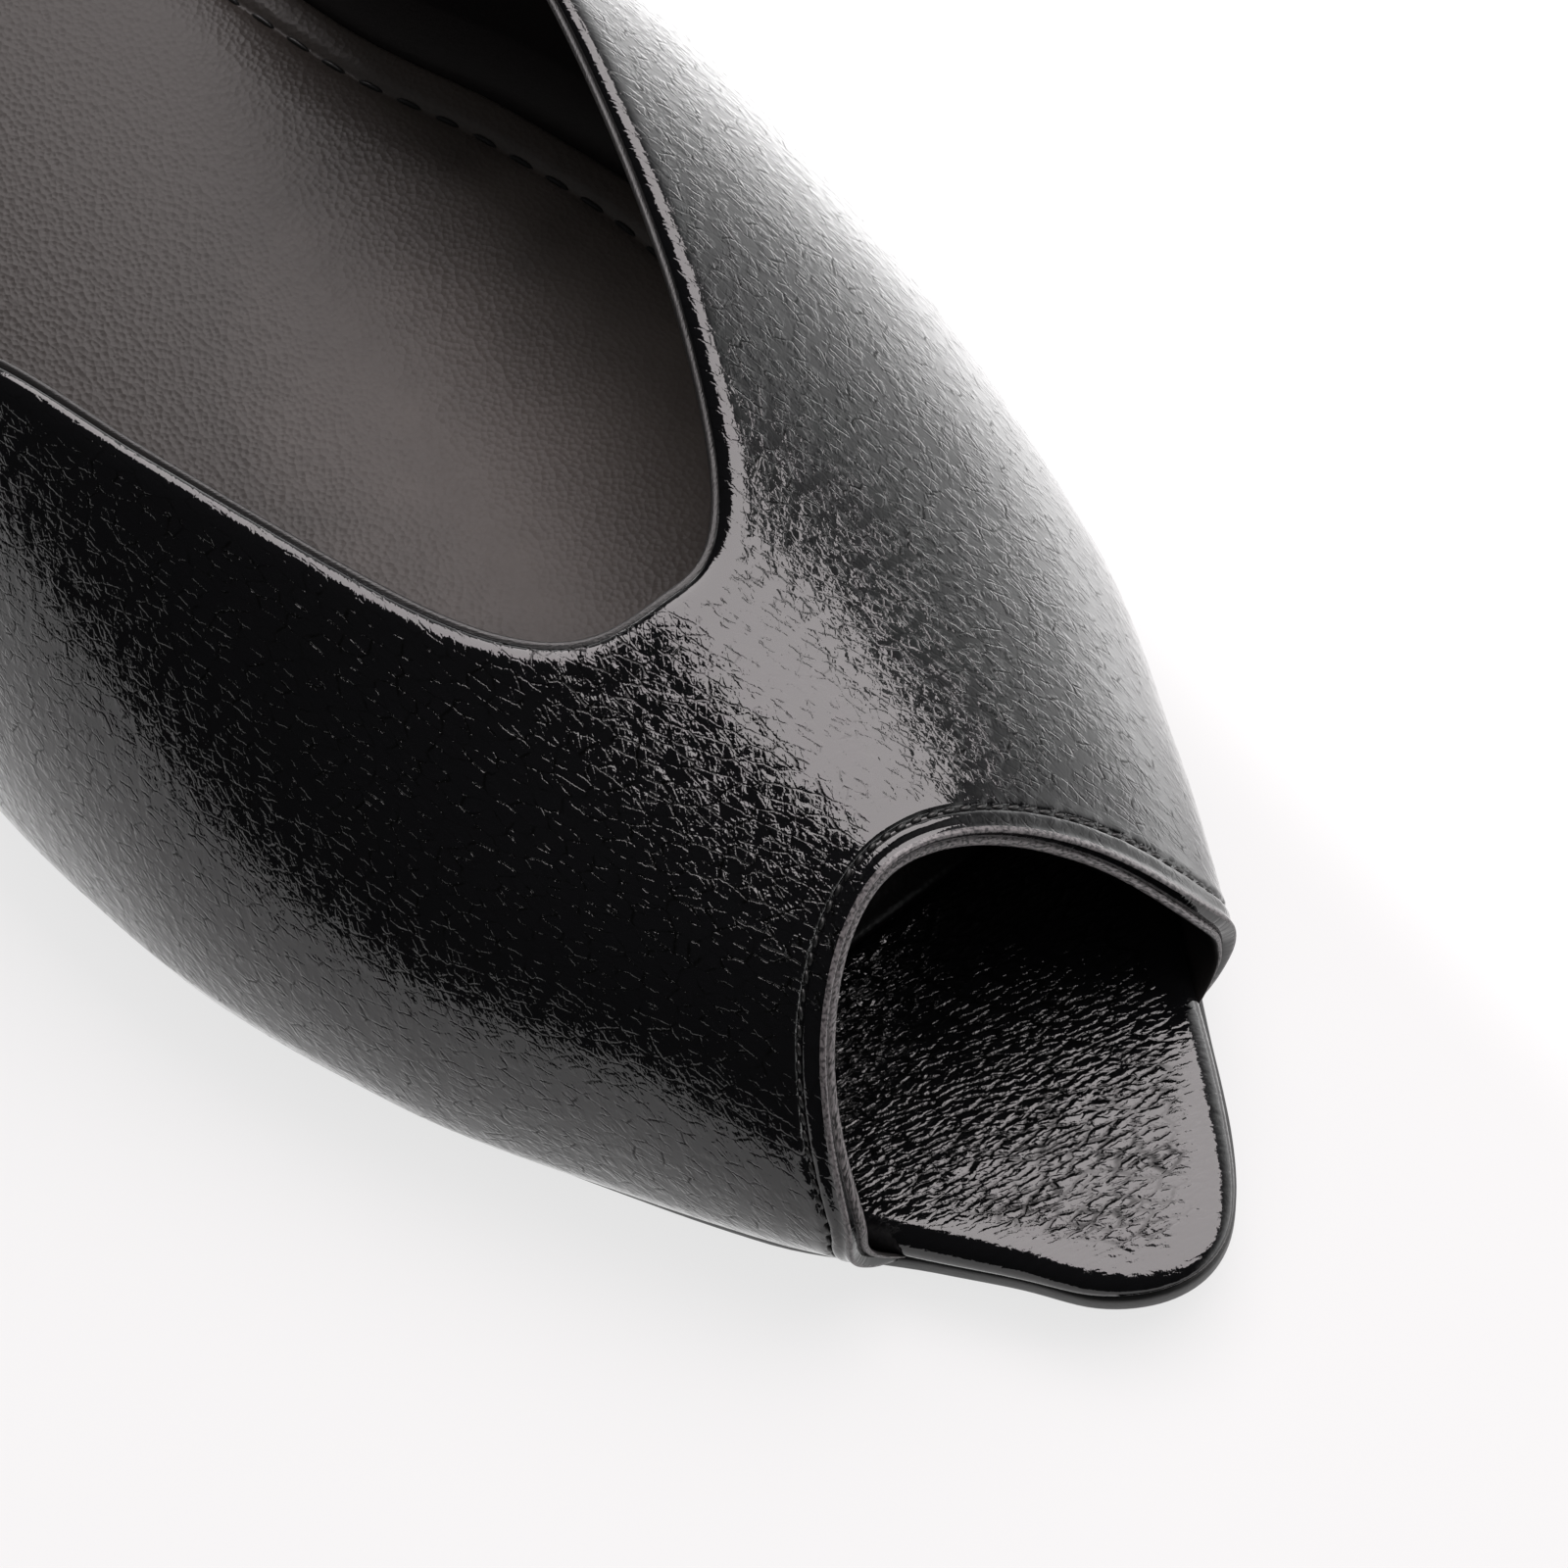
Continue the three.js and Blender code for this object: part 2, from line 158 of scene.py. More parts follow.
# Where the shoe's own axes lie in the frame
insoleLow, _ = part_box("insole")
centreX = insoleLow.x / mm + shoe["ballWidth"] * max(row[2] for row in outlineRows)
toeY = insoleLow.y / mm


def place(points):
    points = np.asarray(points, float)
    return (points + np.array([centreX, toeY, 0.0])) * mm


# Camera: the photograph's direction, distance and lens
photoCamera = {
    "azimuth": -34.65,
    "elevation": 59.32,
    "roll": -5.39,
    "distance": 455.5,
    "target": (4.43, 52.3, 16.7),
    "lens": 126.7,
    "sensor": 36.0,
    "clip": (0.02, 50.0),  # metres
}


def makeCamera(settings):
    azimuth, elevation, roll = (math.radians(settings[k]) for k in ("azimuth", "elevation", "roll"))
    back = Vector((
        math.sin(azimuth) * math.cos(elevation),
        -math.cos(azimuth) * math.cos(elevation),
        math.sin(elevation),
    ))
    right = Vector((math.cos(azimuth), math.sin(azimuth), 0))
    up = back.cross(right)
    rolledRight = right * math.cos(roll) + up * math.sin(roll)
    rolledUp = up * math.cos(roll) - right * math.sin(roll)
    camera = bpy.data.objects.new("photo_camera", bpy.data.cameras.new("photo_camera"))
    bpy.context.scene.collection.objects.link(camera)
    turn = Matrix((rolledRight, rolledUp, back)).transposed()
    where = Vector(place(settings["target"])) + back * settings["distance"] * mm
    camera.matrix_world = Matrix.Translation(where) @ turn.to_4x4()
    camera.data.lens = settings["lens"]
    camera.data.sensor_width = settings["sensor"]
    camera.data.clip_start, camera.data.clip_end = settings["clip"]
    bpy.context.scene.camera = camera


makeCamera(photoCamera)
print("camera placed")


# Small helpers for materials and meshes
def hexColour(code):
    parts = [int(code[i:i + 2], 16) / 255 for i in (1, 3, 5)]
    return tuple(c / 12.92 if c <= 0.04045 else ((c + 0.055) / 1.055) ** 2.4 for c in parts) + (1.0,)


def addNode(tree, kind, settings=None, links=None):
    node = tree.nodes.new(kind)
    for key, value in (settings or {}).items():
        if isinstance(key, int) or key in node.inputs:
            node.inputs[key].default_value = value
        else:
            setattr(node, key, value)
    for key, socket in (links or {}).items():
        tree.links.new(socket, node.inputs[key])
    return node


def colourRamp(tree, source, stops):
    ramp = addNode(tree, "ShaderNodeValToRGB", links={"Fac": source})
    elements = ramp.color_ramp.elements
    while len(elements) > 1:
        elements.remove(elements[-1])
    elements[0].position, elements[0].color = stops[0]
    for position, colour in stops[1:]:
        elements.new(position).color = colour
    return ramp.outputs["Color"]


def mathNode(tree, operation, *values):
    node = addNode(tree, "ShaderNodeMath", {"operation": operation})
    for i, value in enumerate(values):
        if isinstance(value, float):
            node.inputs[i].default_value = value
        else:
            tree.links.new(value, node.inputs[i])
    return node.outputs[0]


def mapRange(tree, value, fromPair, toPair=(0.0, 1.0), blend="LINEAR"):
    settings = {"interpolation_type": blend, "From Min": fromPair[0], "From Max": fromPair[1],
                "To Min": toPair[0], "To Max": toPair[1]}
    return addNode(tree, "ShaderNodeMapRange", settings, {"Value": value}).outputs["Result"]


def noiseNode(tree, coordinates, size, detail=4.0, roughness=0.5):
    settings = {"Scale": 1 / size, "Detail": detail, "Roughness": roughness}
    return addNode(tree, "ShaderNodeTexNoise", settings, {"Vector": coordinates})


def bumpNode(tree, height, depth, normal=None):
    links = {"Height": height} if normal is None else {"Height": height, "Normal": normal}
    settings = {"Strength": 1.0, "Distance": depth * mm}
    return addNode(tree, "ShaderNodeBump", settings, links).outputs["Normal"]


def newMaterial(name):
    material = bpy.data.materials.new(name)
    material.use_nodes = True
    tree = material.node_tree
    tree.nodes.clear()
    shader = addNode(tree, "ShaderNodeBsdfPrincipled")
    addNode(tree, "ShaderNodeOutputMaterial", links={"Surface": shader.outputs["BSDF"]})
    return material, tree, shader


def meshPiece(name, points, faces, material, replaces=(), skinMm=None, calm=None):
    mesh = bpy.data.meshes.new(name)
    mesh.from_pydata([tuple(p) for p in place(points)], [], faces)
    mesh.update()
    if skinMm is not None:
        layer = mesh.attributes.new("skinMm", "FLOAT_VECTOR", "POINT")
        layer.data.foreach_set("vector", np.asarray(skinMm, np.float32).ravel())
    if calm is not None:
        layer = mesh.attributes.new("calm", "FLOAT", "POINT")
        layer.data.foreach_set("value", np.asarray(calm, np.float32).ravel())
    mesh.materials.append(material)
    mesh.polygons.foreach_set("use_smooth", [True] * len(mesh.polygons))
    piece = bpy.data.objects.new(name, mesh)
    bpy.context.scene.collection.objects.link(piece)
    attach(piece, "root")
    if replaces:
        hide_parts(*replaces)
    return piece


def weld(piece, distance=0.01):
    bpy.context.view_layer.objects.active = piece
    cleaner = piece.modifiers.new("weld", "WELD")
    cleaner.merge_threshold = distance * mm
    with bpy.context.temp_override(object=piece, active_object=piece):
        bpy.ops.object.modifier_apply(modifier=cleaner.name)


def unit(vectors):
    return vectors / np.maximum(np.linalg.norm(vectors, axis=-1, keepdims=True), 1e-12)


def runLength(points):
    return np.concatenate([[0], np.cumsum(np.linalg.norm(np.diff(points, axis=0), axis=1))])


# Upper: the skin of the last, cut by the peep opening in front and the foot opening behind
upper = {
    "wall": 1.8,
    "featherWall": 1.1,
    "bulge": 6.3,
    "bulgeRise": 2.8,
    "tuckShare": 0.2,
    "tuckFullness": 0.62,
    "sideFullness": 0.71,
    "crownFullness": 0.334,
    "cornerLift": 1.2,
    "cornerRun": 7.0,
    "peepCorner": {-1: 17.2, 1: 19.1},
    "peepTop": 32.4,
    "peepSweep": {-1: 2.68, 1: 3.56},
    "collarTip": 60.9,
    "collarEnd": 166.0,
    "collarSweep": {-1: 4.0, 1: 2.78},
    "collarTurn": {-1: 0.045, 1: 0.088},
    "columns": 300,
    "bodyRows": 84,
    "edgeShare": 0.03,
    "foldFade": (-0.02, 0.06),
    "rollStep": 0.4,
    "liningShift": 5.0,
    # Where the grain is calmer, or livelier, than elsewhere: mm from the ridge, then mm behind the toe
    "foldCalm": 0.6,
    "bendAcross": -9.5,
    "bendWidth": 5.0,
    "bendLively": 1.6,
    "tautAcross": 3.5,
    "tautWidth": 4.5,
    "tautCalm": 0.6,
    "vampFront": (27, 33),
    "vampBack": (58, 70),
}


def bySide(values, side):
    return np.where(side > 0, values[1], values[-1])


def featherZ(s, side):
    corner = bySide(upper["peepCorner"], side)
    lift = upper["cornerLift"] * (1 - smoothstep(s, corner, corner + upper["cornerRun"]))
    return soleZ(s) + shoe["outsole"] + shoe["gap"] + lift


# c runs across the shoe: -1 at the lateral feather edge, 0 on the ridge, 1 at the medial feather edge
def skinPoint(s, c):
    s, c = np.broadcast_arrays(np.asarray(s, float), np.asarray(c, float))
    side = np.where(c > 0, 1.0, -1.0)
    part = 1 - np.abs(c)
    share = s / shoe["length"]
    slope = edgeX(s + 0.5, side) - edgeX(s - 0.5, side)
    sideways = np.sqrt(1 + slope * slope)
    edge = edgeX(s, side)
    base = soleZ(s) + shoe["outsole"] + shoe["gap"] + shoe["insole"]
    ridgeX = ridgeOffset(share) * shoe["ballWidth"]
    ridgeZ = base + ridgeHeight(share) * shoe["instepHeight"]
    featherX = edge + side * (shoe["gap"] + upper["featherWall"]) * sideways
    lowZ = featherZ(s, side)
    wideX = edge + side * bulgeShare(share) * upper["bulge"] * sideways
    wideZ = base + upper["bulgeRise"]
    rise, reach = ridgeZ - wideZ, wideX - ridgeX
    t = np.clip(part / upper["tuckShare"], 0, 1)
    midZ = lowZ + (wideZ - lowZ) * upper["tuckFullness"]
    tuckX = (1 - t) ** 2 * featherX + (1 - (1 - t) ** 2) * wideX
    tuckZ = (1 - t) ** 2 * lowZ + 2 * t * (1 - t) * midZ + t * t * wideZ
    t = np.clip((part - upper["tuckShare"]) / (1 - upper["tuckShare"]), 0, 1)
    b0, b1, b2, b3 = (1 - t) ** 3, 3 * t * (1 - t) ** 2, 3 * t * t * (1 - t), t ** 3
    sideX = (b0 + b1) * wideX + b2 * (ridgeX + upper["crownFullness"] * reach) + b3 * ridgeX
    sideZ = b0 * wideZ + b1 * (wideZ + upper["sideFullness"] * rise) + (b2 + b3) * ridgeZ
    low = part < upper["tuckShare"]
    return np.stack([np.where(low, tuckX, sideX), s, np.where(low, tuckZ, sideZ)], -1)


def skinFrame(s, c):
    ds, dc = 0.25, 0.004
    along = (skinPoint(s + ds, c) - skinPoint(s - ds, c)) / (2 * ds)
    low, high = np.clip(c - dc, -1, 1), np.clip(c + dc, -1, 1)
    across = (skinPoint(s, high) - skinPoint(s, low)) / (high - low)[..., None]
    return along, across, unit(np.cross(across, along))


def peepEdge(c):
    side = np.where(c > 0, 1.0, -1.0)
    t = np.clip((1 - np.abs(c) - upper["tuckShare"]) / (1 - upper["tuckShare"]), 0, 1)
    climb = 3 * t * (1 - t) ** 2 * upper["sideFullness"] + 3 * t * t * (1 - t) + t ** 3
    corner = bySide(upper["peepCorner"], side)
    return corner + (upper["peepTop"] - corner) * climb ** bySide(upper["peepSweep"], side)


# The foot opening's edge leaves the throat's tip, sweeps back over the instep and turns down to the sole
def collarEdge(c):
    side = np.where(c > 0, 1.0, -1.0)
    turn = bySide(upper["collarTurn"], side)
    down = np.abs(c) ** bySide(upper["collarSweep"], side)
    return upper["collarTip"] + (upper["collarEnd"] - upper["collarTip"]) * down * (1 + turn) / (down + turn)


# Columns are spread so that both openings' edges are sampled evenly
def spreadColumns(count):
    c = np.linspace(-1, 1, 1201)
    total = np.zeros(len(c))
    for edge, weight in ((collarEdge(c), 1.0), (peepEdge(c), 1.2)):
        length = runLength(skinPoint(edge, c))
        total += weight * length / length[-1]
    return np.interp(np.linspace(0, total[-1], count), total, c)


# A point moved over the skin by a distance away from an edge, found from the edge's own direction
def inwardSteps(s, c, turn):
    p = skinPoint(s, c)
    tangent = unit(np.gradient(p, axis=0))
    along, across, normal = skinFrame(s, c)
    inward = unit(np.cross(normal, tangent)) * turn
    basis = np.stack([along, across], -1)
    steps = np.linalg.pinv(basis) @ inward[..., None]
    return steps[..., 0, 0], steps[..., 1, 0], inward, normal


print("last's skin and both openings set")


# A quarter turn over an edge, as rows of distance and height
def roundOver(start, top, reach, fall, steps=8):
    turns = [math.pi / 2 * i / steps for i in range(steps + 1)]
    return [(start + reach * (1 - math.sin(a)), top - fall * (1 - math.cos(a))) for a in turns]


# Profiles of the folded edges: distance back from the edge, then height above the skin. The rows lie on the
# outside, the roll goes round the lining's cut edge, and wallGap rows of the inside give way to it.
peepFold = {
    "stitchLine": 2.85,
    "rows": [
        (5.4, 0.0), (4.6, 0.0), (4.0, 0.03), (3.5, 0.1), (3.22, 0.09), (3.05, -0.05), (2.85, -0.22),
        (2.68, -0.15), (2.56, 0.02), (2.42, 0.14), (2.2, 0.2), (1.9, 0.17), (1.65, 0.1), (1.45, 0.1),
        (1.22, 0.2), (1.0, 0.31), (0.86, 0.35), (0.74, 0.3), (0.66, 0.12), (0.58, -0.2), (0.52, -0.55),
        (0.5, -0.9),
    ],
    "roll": [
        (0.58, -1.04), (0.7, -1.12), (0.6, -1.1), (0.34, -1.04), (0.1, -1.08), (-0.04, -1.22),
        (-0.06, -1.42), (0.06, -1.62), (0.36, -1.78),
    ],
    "rollLeast": 0.9,
    "wallGap": 9,
    "grainRows": 2,
    # Rows of the crest that carry its painted highlight
    "paintedHighlightRows": (3, 7),
    "paredRows": (2, 7),
    # The seam puckers the leather a little on both sides of its groove: share of the pucker by distance
    "puckerStep": 0.62,
    "puckerHeight": 0.07,
    "pinched": {3.5: 0.5, 3.22: 1.0, 3.05: 0.8, 2.56: 0.6, 2.42: 0.7, 2.2: 0.3},
}
collarFold = {
    "rows": [(5.8, 0.0), (4.9, 0.0), (4.1, 0.0), (3.4, 0.0), (2.8, 0.0)] + roundOver(0.5, 0.0, 1.9, 1.1),
    "roll": [
        (0.54, -1.14), (0.68, -1.2), (0.56, -1.2), (0.34, -1.18), (0.12, -1.24), (0.02, -1.36), (0.0, -1.5),
        (0.1, -1.66), (0.36, -1.8),
    ],
    "rollLeast": 0.25,
    "wallGap": 5,
    "calmRows": 9,
    "inkedRows": (1, 7),
}

# The peep edge's ends turn in under the insole and grow thin
peepEnds = {
    "share": 0.3,
    "forward": 0.35,
    "tuckIn": 1.3,
    "curl": 2.4,
    "roundOut": 0.15,
    "drop": 0.9,
    "thin": 0.4,
    "fade": (22.0, 34.0),
}

# Soft troughs in the vamp: ends on the skin as mm from the ridge and mm behind the toe, then width and depth
vampCreases = [
    ("below_throat", (-15.0, 66.0), (-6.0, 60.0), 3.4, 0.07),
    ("beside_throat", (9.0, 64.0), (16.0, 56.0), 3.6, 0.06),
    ("ball_lateral", (-26.0, 62.0), (-17.0, 50.0), 4.2, 0.06),
    ("ball_medial", (22.0, 66.0), (30.0, 54.0), 4.2, 0.05),
    ("above_peep", (-7.0, 40.0), (4.0, 41.5), 3.0, 0.04),
]


def creaseDepth(across, s):
    depth = np.zeros(len(across))
    for _, start, end, width, deep in vampCreases:
        runX, runS = end[0] - start[0], end[1] - start[1]
        t = np.clip(((across - start[0]) * runX + (s - start[1]) * runS) / (runX ** 2 + runS ** 2), 0, 1)
        away = np.hypot(across - start[0] - t * runX, s - start[1] - t * runS)
        depth += deep * np.exp(-(away / width) ** 2)
    return depth


def dressedPeepEdge(c):
    low = np.clip(1 - (1 - np.abs(c)) / peepEnds["share"], 0, 1)
    return peepEdge(c) - peepEnds["forward"] * low ** 2


def nearPeep(s):
    return (1 - smoothstep(s, *peepEnds["fade"]))[:, None]


# One loop of rows, from the peep over the outside to the collar and back along the inside. The materials are
# the leather, the lining, the collar's inked edge, the peep's pared edge and the peep's crest with its
# painted highlight.
def buildUpper(materials):
    c = spreadColumns(upper["columns"])
    rise = smoothstep(1 - np.abs(c), 0, upper["tuckShare"])[:, None]
    foldRise = smoothstep(1 - np.abs(c), *upper["foldFade"])[:, None]
    front, back = dressedPeepEdge(c), collarEdge(c)
    frontDs, frontDc, frontIn, frontNormal = inwardSteps(front, c, 1.0)
    backDs, backDc, backIn, backNormal = inwardSteps(back, c, -1.0)
    edgeOn = np.minimum(1, np.minimum(c + 1, 1 - c) / upper["edgeShare"])
    wall = upper["featherWall"] + (upper["wall"] - upper["featherWall"]) * rise
    tuck = np.clip((1 - np.abs(c)) / upper["tuckShare"], 0, 1)[:, None]
    low = (1 - tuck) ** 2

    def tuckedIn(points, s):
        near = nearPeep(s)
        moved = points.copy()
        inward = peepEnds["tuckIn"] * (1 - tuck) ** peepEnds["curl"]
        inward -= peepEnds["roundOut"] * np.sin(np.pi * tuck) ** 2
        moved[:, :1] -= np.sign(c)[:, None] * near * inward
        moved[:, 2:] -= low * near * upper["cornerLift"] * peepEnds["drop"]
        return moved

    def rowAt(edge, ds, dc, distance):
        return edge + ds * distance, np.clip(c + dc * distance * edgeOn, -1, 1)

    grid, heights = [], []
    for distance, height in reversed(peepFold["rows"]):
        grid.append(rowAt(front, frontDs, frontDc, distance))
        heights.append(height)
    firstS, firstC = grid[-1]
    lastS, lastC = rowAt(back, backDs, backDc, collarFold["rows"][0][0])
    for i in range(1, upper["bodyRows"]):
        t = i / upper["bodyRows"]
        grid.append((firstS + (lastS - firstS) * t, firstC + (lastC - firstC) * t))
        heights.append(0.0)
    for distance, height in collarFold["rows"]:
        grid.append(rowAt(back, backDs, backDc, distance))
        heights.append(height)

    seamRun = runLength(skinPoint(front, c))
    knots = np.arange(0, seamRun[-1] + 1, peepFold["puckerStep"])
    most = peepFold["puckerHeight"]
    pucker = np.interp(seamRun, knots, [random.uniform(-most, most) for _ in knots])[:, None]
    puckers = [peepFold["pinched"].get(distance, 0.0) for distance, _ in reversed(peepFold["rows"])]
    puckers += [0.0] * (len(grid) - len(puckers))

    outer, inner, skin = [], [], []
    for (s, cc), height, pinch in zip(grid, heights, puckers):
        p = skinPoint(s, cc)
        normal = skinFrame(s, cc)[2]
        sideways = np.stack([np.sign(cc), np.zeros(len(cc)), np.zeros(len(cc))], -1)
        into = unit(sideways + (normal - sideways) * rise)
        across = acrossLength(s, cc)
        trough = normal * (creaseDepth(across, s)[:, None] * rise)
        outer.append(tuckedIn(p + normal * (height + pinch * pucker) * foldRise - trough, s))
        inner.append(tuckedIn(p - trough - into * wall * (1 - peepEnds["thin"] * low * nearPeep(s)), s))
        skin.append(np.stack([across, s, np.zeros(len(s))], -1))

    def rollRows(edge, inward, normal, fold):
        p = skinPoint(edge, c)
        depth = wall / upper["wall"] * (1 - peepEnds["thin"] * low * nearPeep(edge))
        most = np.maximum(rise, fold["rollLeast"])
        return [
            tuckedIn(p + inward * distance * most + normal * height * depth, edge)
            for distance, height in fold["roll"]
        ]

    def rollSkin(edge, step, fold):
        across = acrossLength(edge, c)
        return [np.stack([across, edge + step * (k + 1), 0 * c], -1) for k in range(len(fold["roll"]))]

    frontRoll = rollRows(front, frontIn, frontNormal, peepFold)
    backRoll = rollRows(back, backIn, backNormal, collarFold)
    frontSkin = rollSkin(front, -upper["rollStep"], peepFold)
    backSkin = rollSkin(back, upper["rollStep"], collarFold)
    innerFront = len(peepFold["rows"]) - peepFold["wallGap"]
    innerBack = len(grid) - len(collarFold["rows"]) + collarFold["wallGap"]
    keep = list(range(innerBack, innerFront, -1))
    innerSkin = [skin[k] + np.array([0, 0, upper["liningShift"]]) for k in keep]
    loop = outer + backRoll + [inner[k] for k in keep] + frontRoll[::-1]
    loopSkin = skin + backSkin + innerSkin + frontSkin[::-1]
    count, columns = len(loop), len(c)
    points = np.concatenate(loop)
    attribute = np.concatenate(loopSkin)
    faces, slots = [], []
    backStart, innerStart = len(outer), len(outer) + len(backRoll)
    frontStart = innerStart + len(keep)

    def slotOf(k):
        if peepFold["paintedHighlightRows"][0] <= k < peepFold["paintedHighlightRows"][1]:
            return 4
        if k == count - 1 or peepFold["paredRows"][0] <= k - frontStart < peepFold["paredRows"][1]:
            return 3
        if collarFold["inkedRows"][0] <= k - backStart < collarFold["inkedRows"][1]:
            return 2
        return 1 if innerStart - 2 <= k < frontStart + 2 else 0

    for k in range(count):
        a, b = k * columns, ((k + 1) % count) * columns
        faces += [(a + j, a + j + 1, b + j + 1, b + j) for j in range(columns - 1)]
        slots += [slotOf(k)] * (columns - 1)
    # Both feather ends are closed with a strip from the outside to the inside
    for j in (0, columns - 1):
        ring = [k * columns + j for k in range(count)]
        low, high = 0, count - 1
        strip = []
        while high - low > 1:
            stepLow = np.linalg.norm(points[ring[low + 1]] - points[ring[high]])
            stepHigh = np.linalg.norm(points[ring[low]] - points[ring[high - 1]])
            if stepLow < stepHigh:
                strip.append((ring[low], ring[low + 1], ring[high]))
                low += 1
            else:
                strip.append((ring[low], ring[high - 1], ring[high]))
                high -= 1
        faces += [f[::-1] for f in strip] if j == 0 else strip
        slots += [1] * len(strip)
    calm = np.zeros(len(points))
    calmFront = range(len(peepFold["rows"]) - peepFold["grainRows"])
    calmBack = range(backStart - collarFold["calmRows"], innerStart)
    for k in list(calmFront) + list(calmBack):
        calm[k * columns:(k + 1) * columns] = upper["foldCalm"]
    # The leather is livelier where the vamp bends most, beside the ridge, and calmer where it is taut
    across, s = attribute[:backStart * columns, 0], attribute[:backStart * columns, 1]
    vamp = smoothstep(s, *upper["vampFront"]) * (1 - smoothstep(s, *upper["vampBack"]))
    bent = vamp * np.exp(-((across - upper["bendAcross"]) / upper["bendWidth"]) ** 2)
    taut = vamp * np.exp(-((across - upper["tautAcross"]) / upper["tautWidth"]) ** 2)
    calm[:backStart * columns] += upper["tautCalm"] * taut - upper["bendLively"] * bent
    leather = materials[0]
    piece = meshPiece("upper_leather", points, faces, leather, ["upper"], attribute, calm)
    for extra in materials[1:]:
        piece.data.materials.append(extra)
    piece.data.polygons.foreach_set("material_index", slots)
    return piece


# Distance over the skin from the ridge, so that the grain keeps its size all over
lengthS = np.linspace(10, 180, 120)
lengthC = np.linspace(-1, 1, 401)
lengthGrid = skinPoint(lengthS[:, None], lengthC[None, :])
lengthSteps = np.linalg.norm(np.diff(lengthGrid, axis=1), axis=2)
lengthTable = np.concatenate([np.zeros((len(lengthS), 1)), np.cumsum(lengthSteps, axis=1)], axis=1)
lengthTable -= lengthTable[:, len(lengthC) // 2][:, None]


def acrossLength(s, c):
    cells = len(lengthC) - 1
    row = np.clip((np.asarray(s) - lengthS[0]) / (lengthS[1] - lengthS[0]), 0, len(lengthS) - 1.001)
    column = np.clip((np.asarray(c) + 1) / 2 * cells, 0, cells - 0.001)
    i, j = row.astype(int), column.astype(int)
    fi, fj = row - i, column - j
    low = lengthTable[i, j] * (1 - fj) + lengthTable[i, j + 1] * fj
    high = lengthTable[i + 1, j] * (1 - fj) + lengthTable[i + 1, j + 1] * fj
    return low * (1 - fi) + high * fi


# Slabs that follow the sole: insole, sock lining, outsole, heel and top piece
def offsetEdge(s, side, distance):
    low, high = max(s - 0.2, 0), min(s + 0.2, shoe["length"])
    alongX, alongY = float(edgeX(high, side) - edgeX(low, side)), high - low
    if s <= 0 or s >= shoe["length"]:
        alongX, alongY = (side if s <= 0 else -side), 0.0
    size = math.hypot(alongX, alongY)
    normalX, normalY = side * alongY / size, -side * alongX / size
    return float(edgeX(s, side)) + normalX * distance, s + normalY * distance


def ringOf(front, back, count, grow, inset, height, z=None):
    frontGap = inset if front > 0 else 0
    backGap = inset if back < shoe["length"] else 0
    lateral, medial = [], []
    for i in range(count + 1):
        s = front + frontGap + (back - backGap - front - frontGap) * (1 - math.cos(math.pi * i / count)) / 2
        for side, run in ((-1, lateral), (1, medial)):
            x, y = offsetEdge(s, side, grow(s, side) - inset)
            run.append((x, y, (float(soleZ(y)) if z is None else z(y)) + height))
    return lateral + medial[::-1]


def slabPiece(name, rings, material, replaces, calm=None, unrolled=False):
    count = len(rings[0])
    points = [p for ring in rings for p in ring]
    faces = []
    for r in range(len(rings) - 1):
        for i in range(count):
            j = (i + 1) % count
            faces.append((r * count + i, r * count + j, (r + 1) * count + j, (r + 1) * count + i))
    for r, flip in ((0, False), (len(rings) - 1, True)):
        for i in range(count // 2 - 1):
            quad = (r * count + i, r * count + i + 1, r * count + count - 2 - i, r * count + count - 1 - i)
            faces.append(quad[::-1] if flip else quad)
    points = np.array(points)
    skin = points
    if unrolled:
        around = runLength(np.array(rings[0]))
        skin = np.array([(around[i], ring[i][2], 0) for ring in rings for i in range(count)])
    piece = meshPiece(name, points, faces, material, replaces, skin, calm)
    weld(piece)
    bpy.context.view_layer.update()
    fixNormals(piece)
    return piece


def fixNormals(piece):
    shell = bmesh.new()
    shell.from_mesh(piece.data)
    bmesh.ops.recalc_face_normals(shell, faces=shell.faces)
    shell.to_mesh(piece.data)
    shell.free()


def roundEdge(radius, faceHeight, inward, steps=8):
    turn = [math.pi / 2 * i / steps for i in range(steps + 1)]
    return [(radius * (1 - math.sin(a)), faceHeight + inward * radius * (1 - math.cos(a))) for a in turn]


insole = {
    "columns": 150,
    "edgeRadius": 2.1,
    "lowerRadius": 1.05,
    "rimRows": [(2.1, 0.34), (2.7, 0.25), (3.4, 0.17), (4.4, 0.09), (5.2, 0.05)],  # inset, fall of the top
    "tipFall": 1.3,
    "tipFallTo": 30.0,
    "tipCurve": 1.4,
    "rimCalm": 0.95,
    "calmInset": (1.9, 5.2),
    "cup": 1.6,
    "cupAcross": (-9.0, 3.0),
    "fallFrom": 28.0,
    "fallTo": 40.0,
}


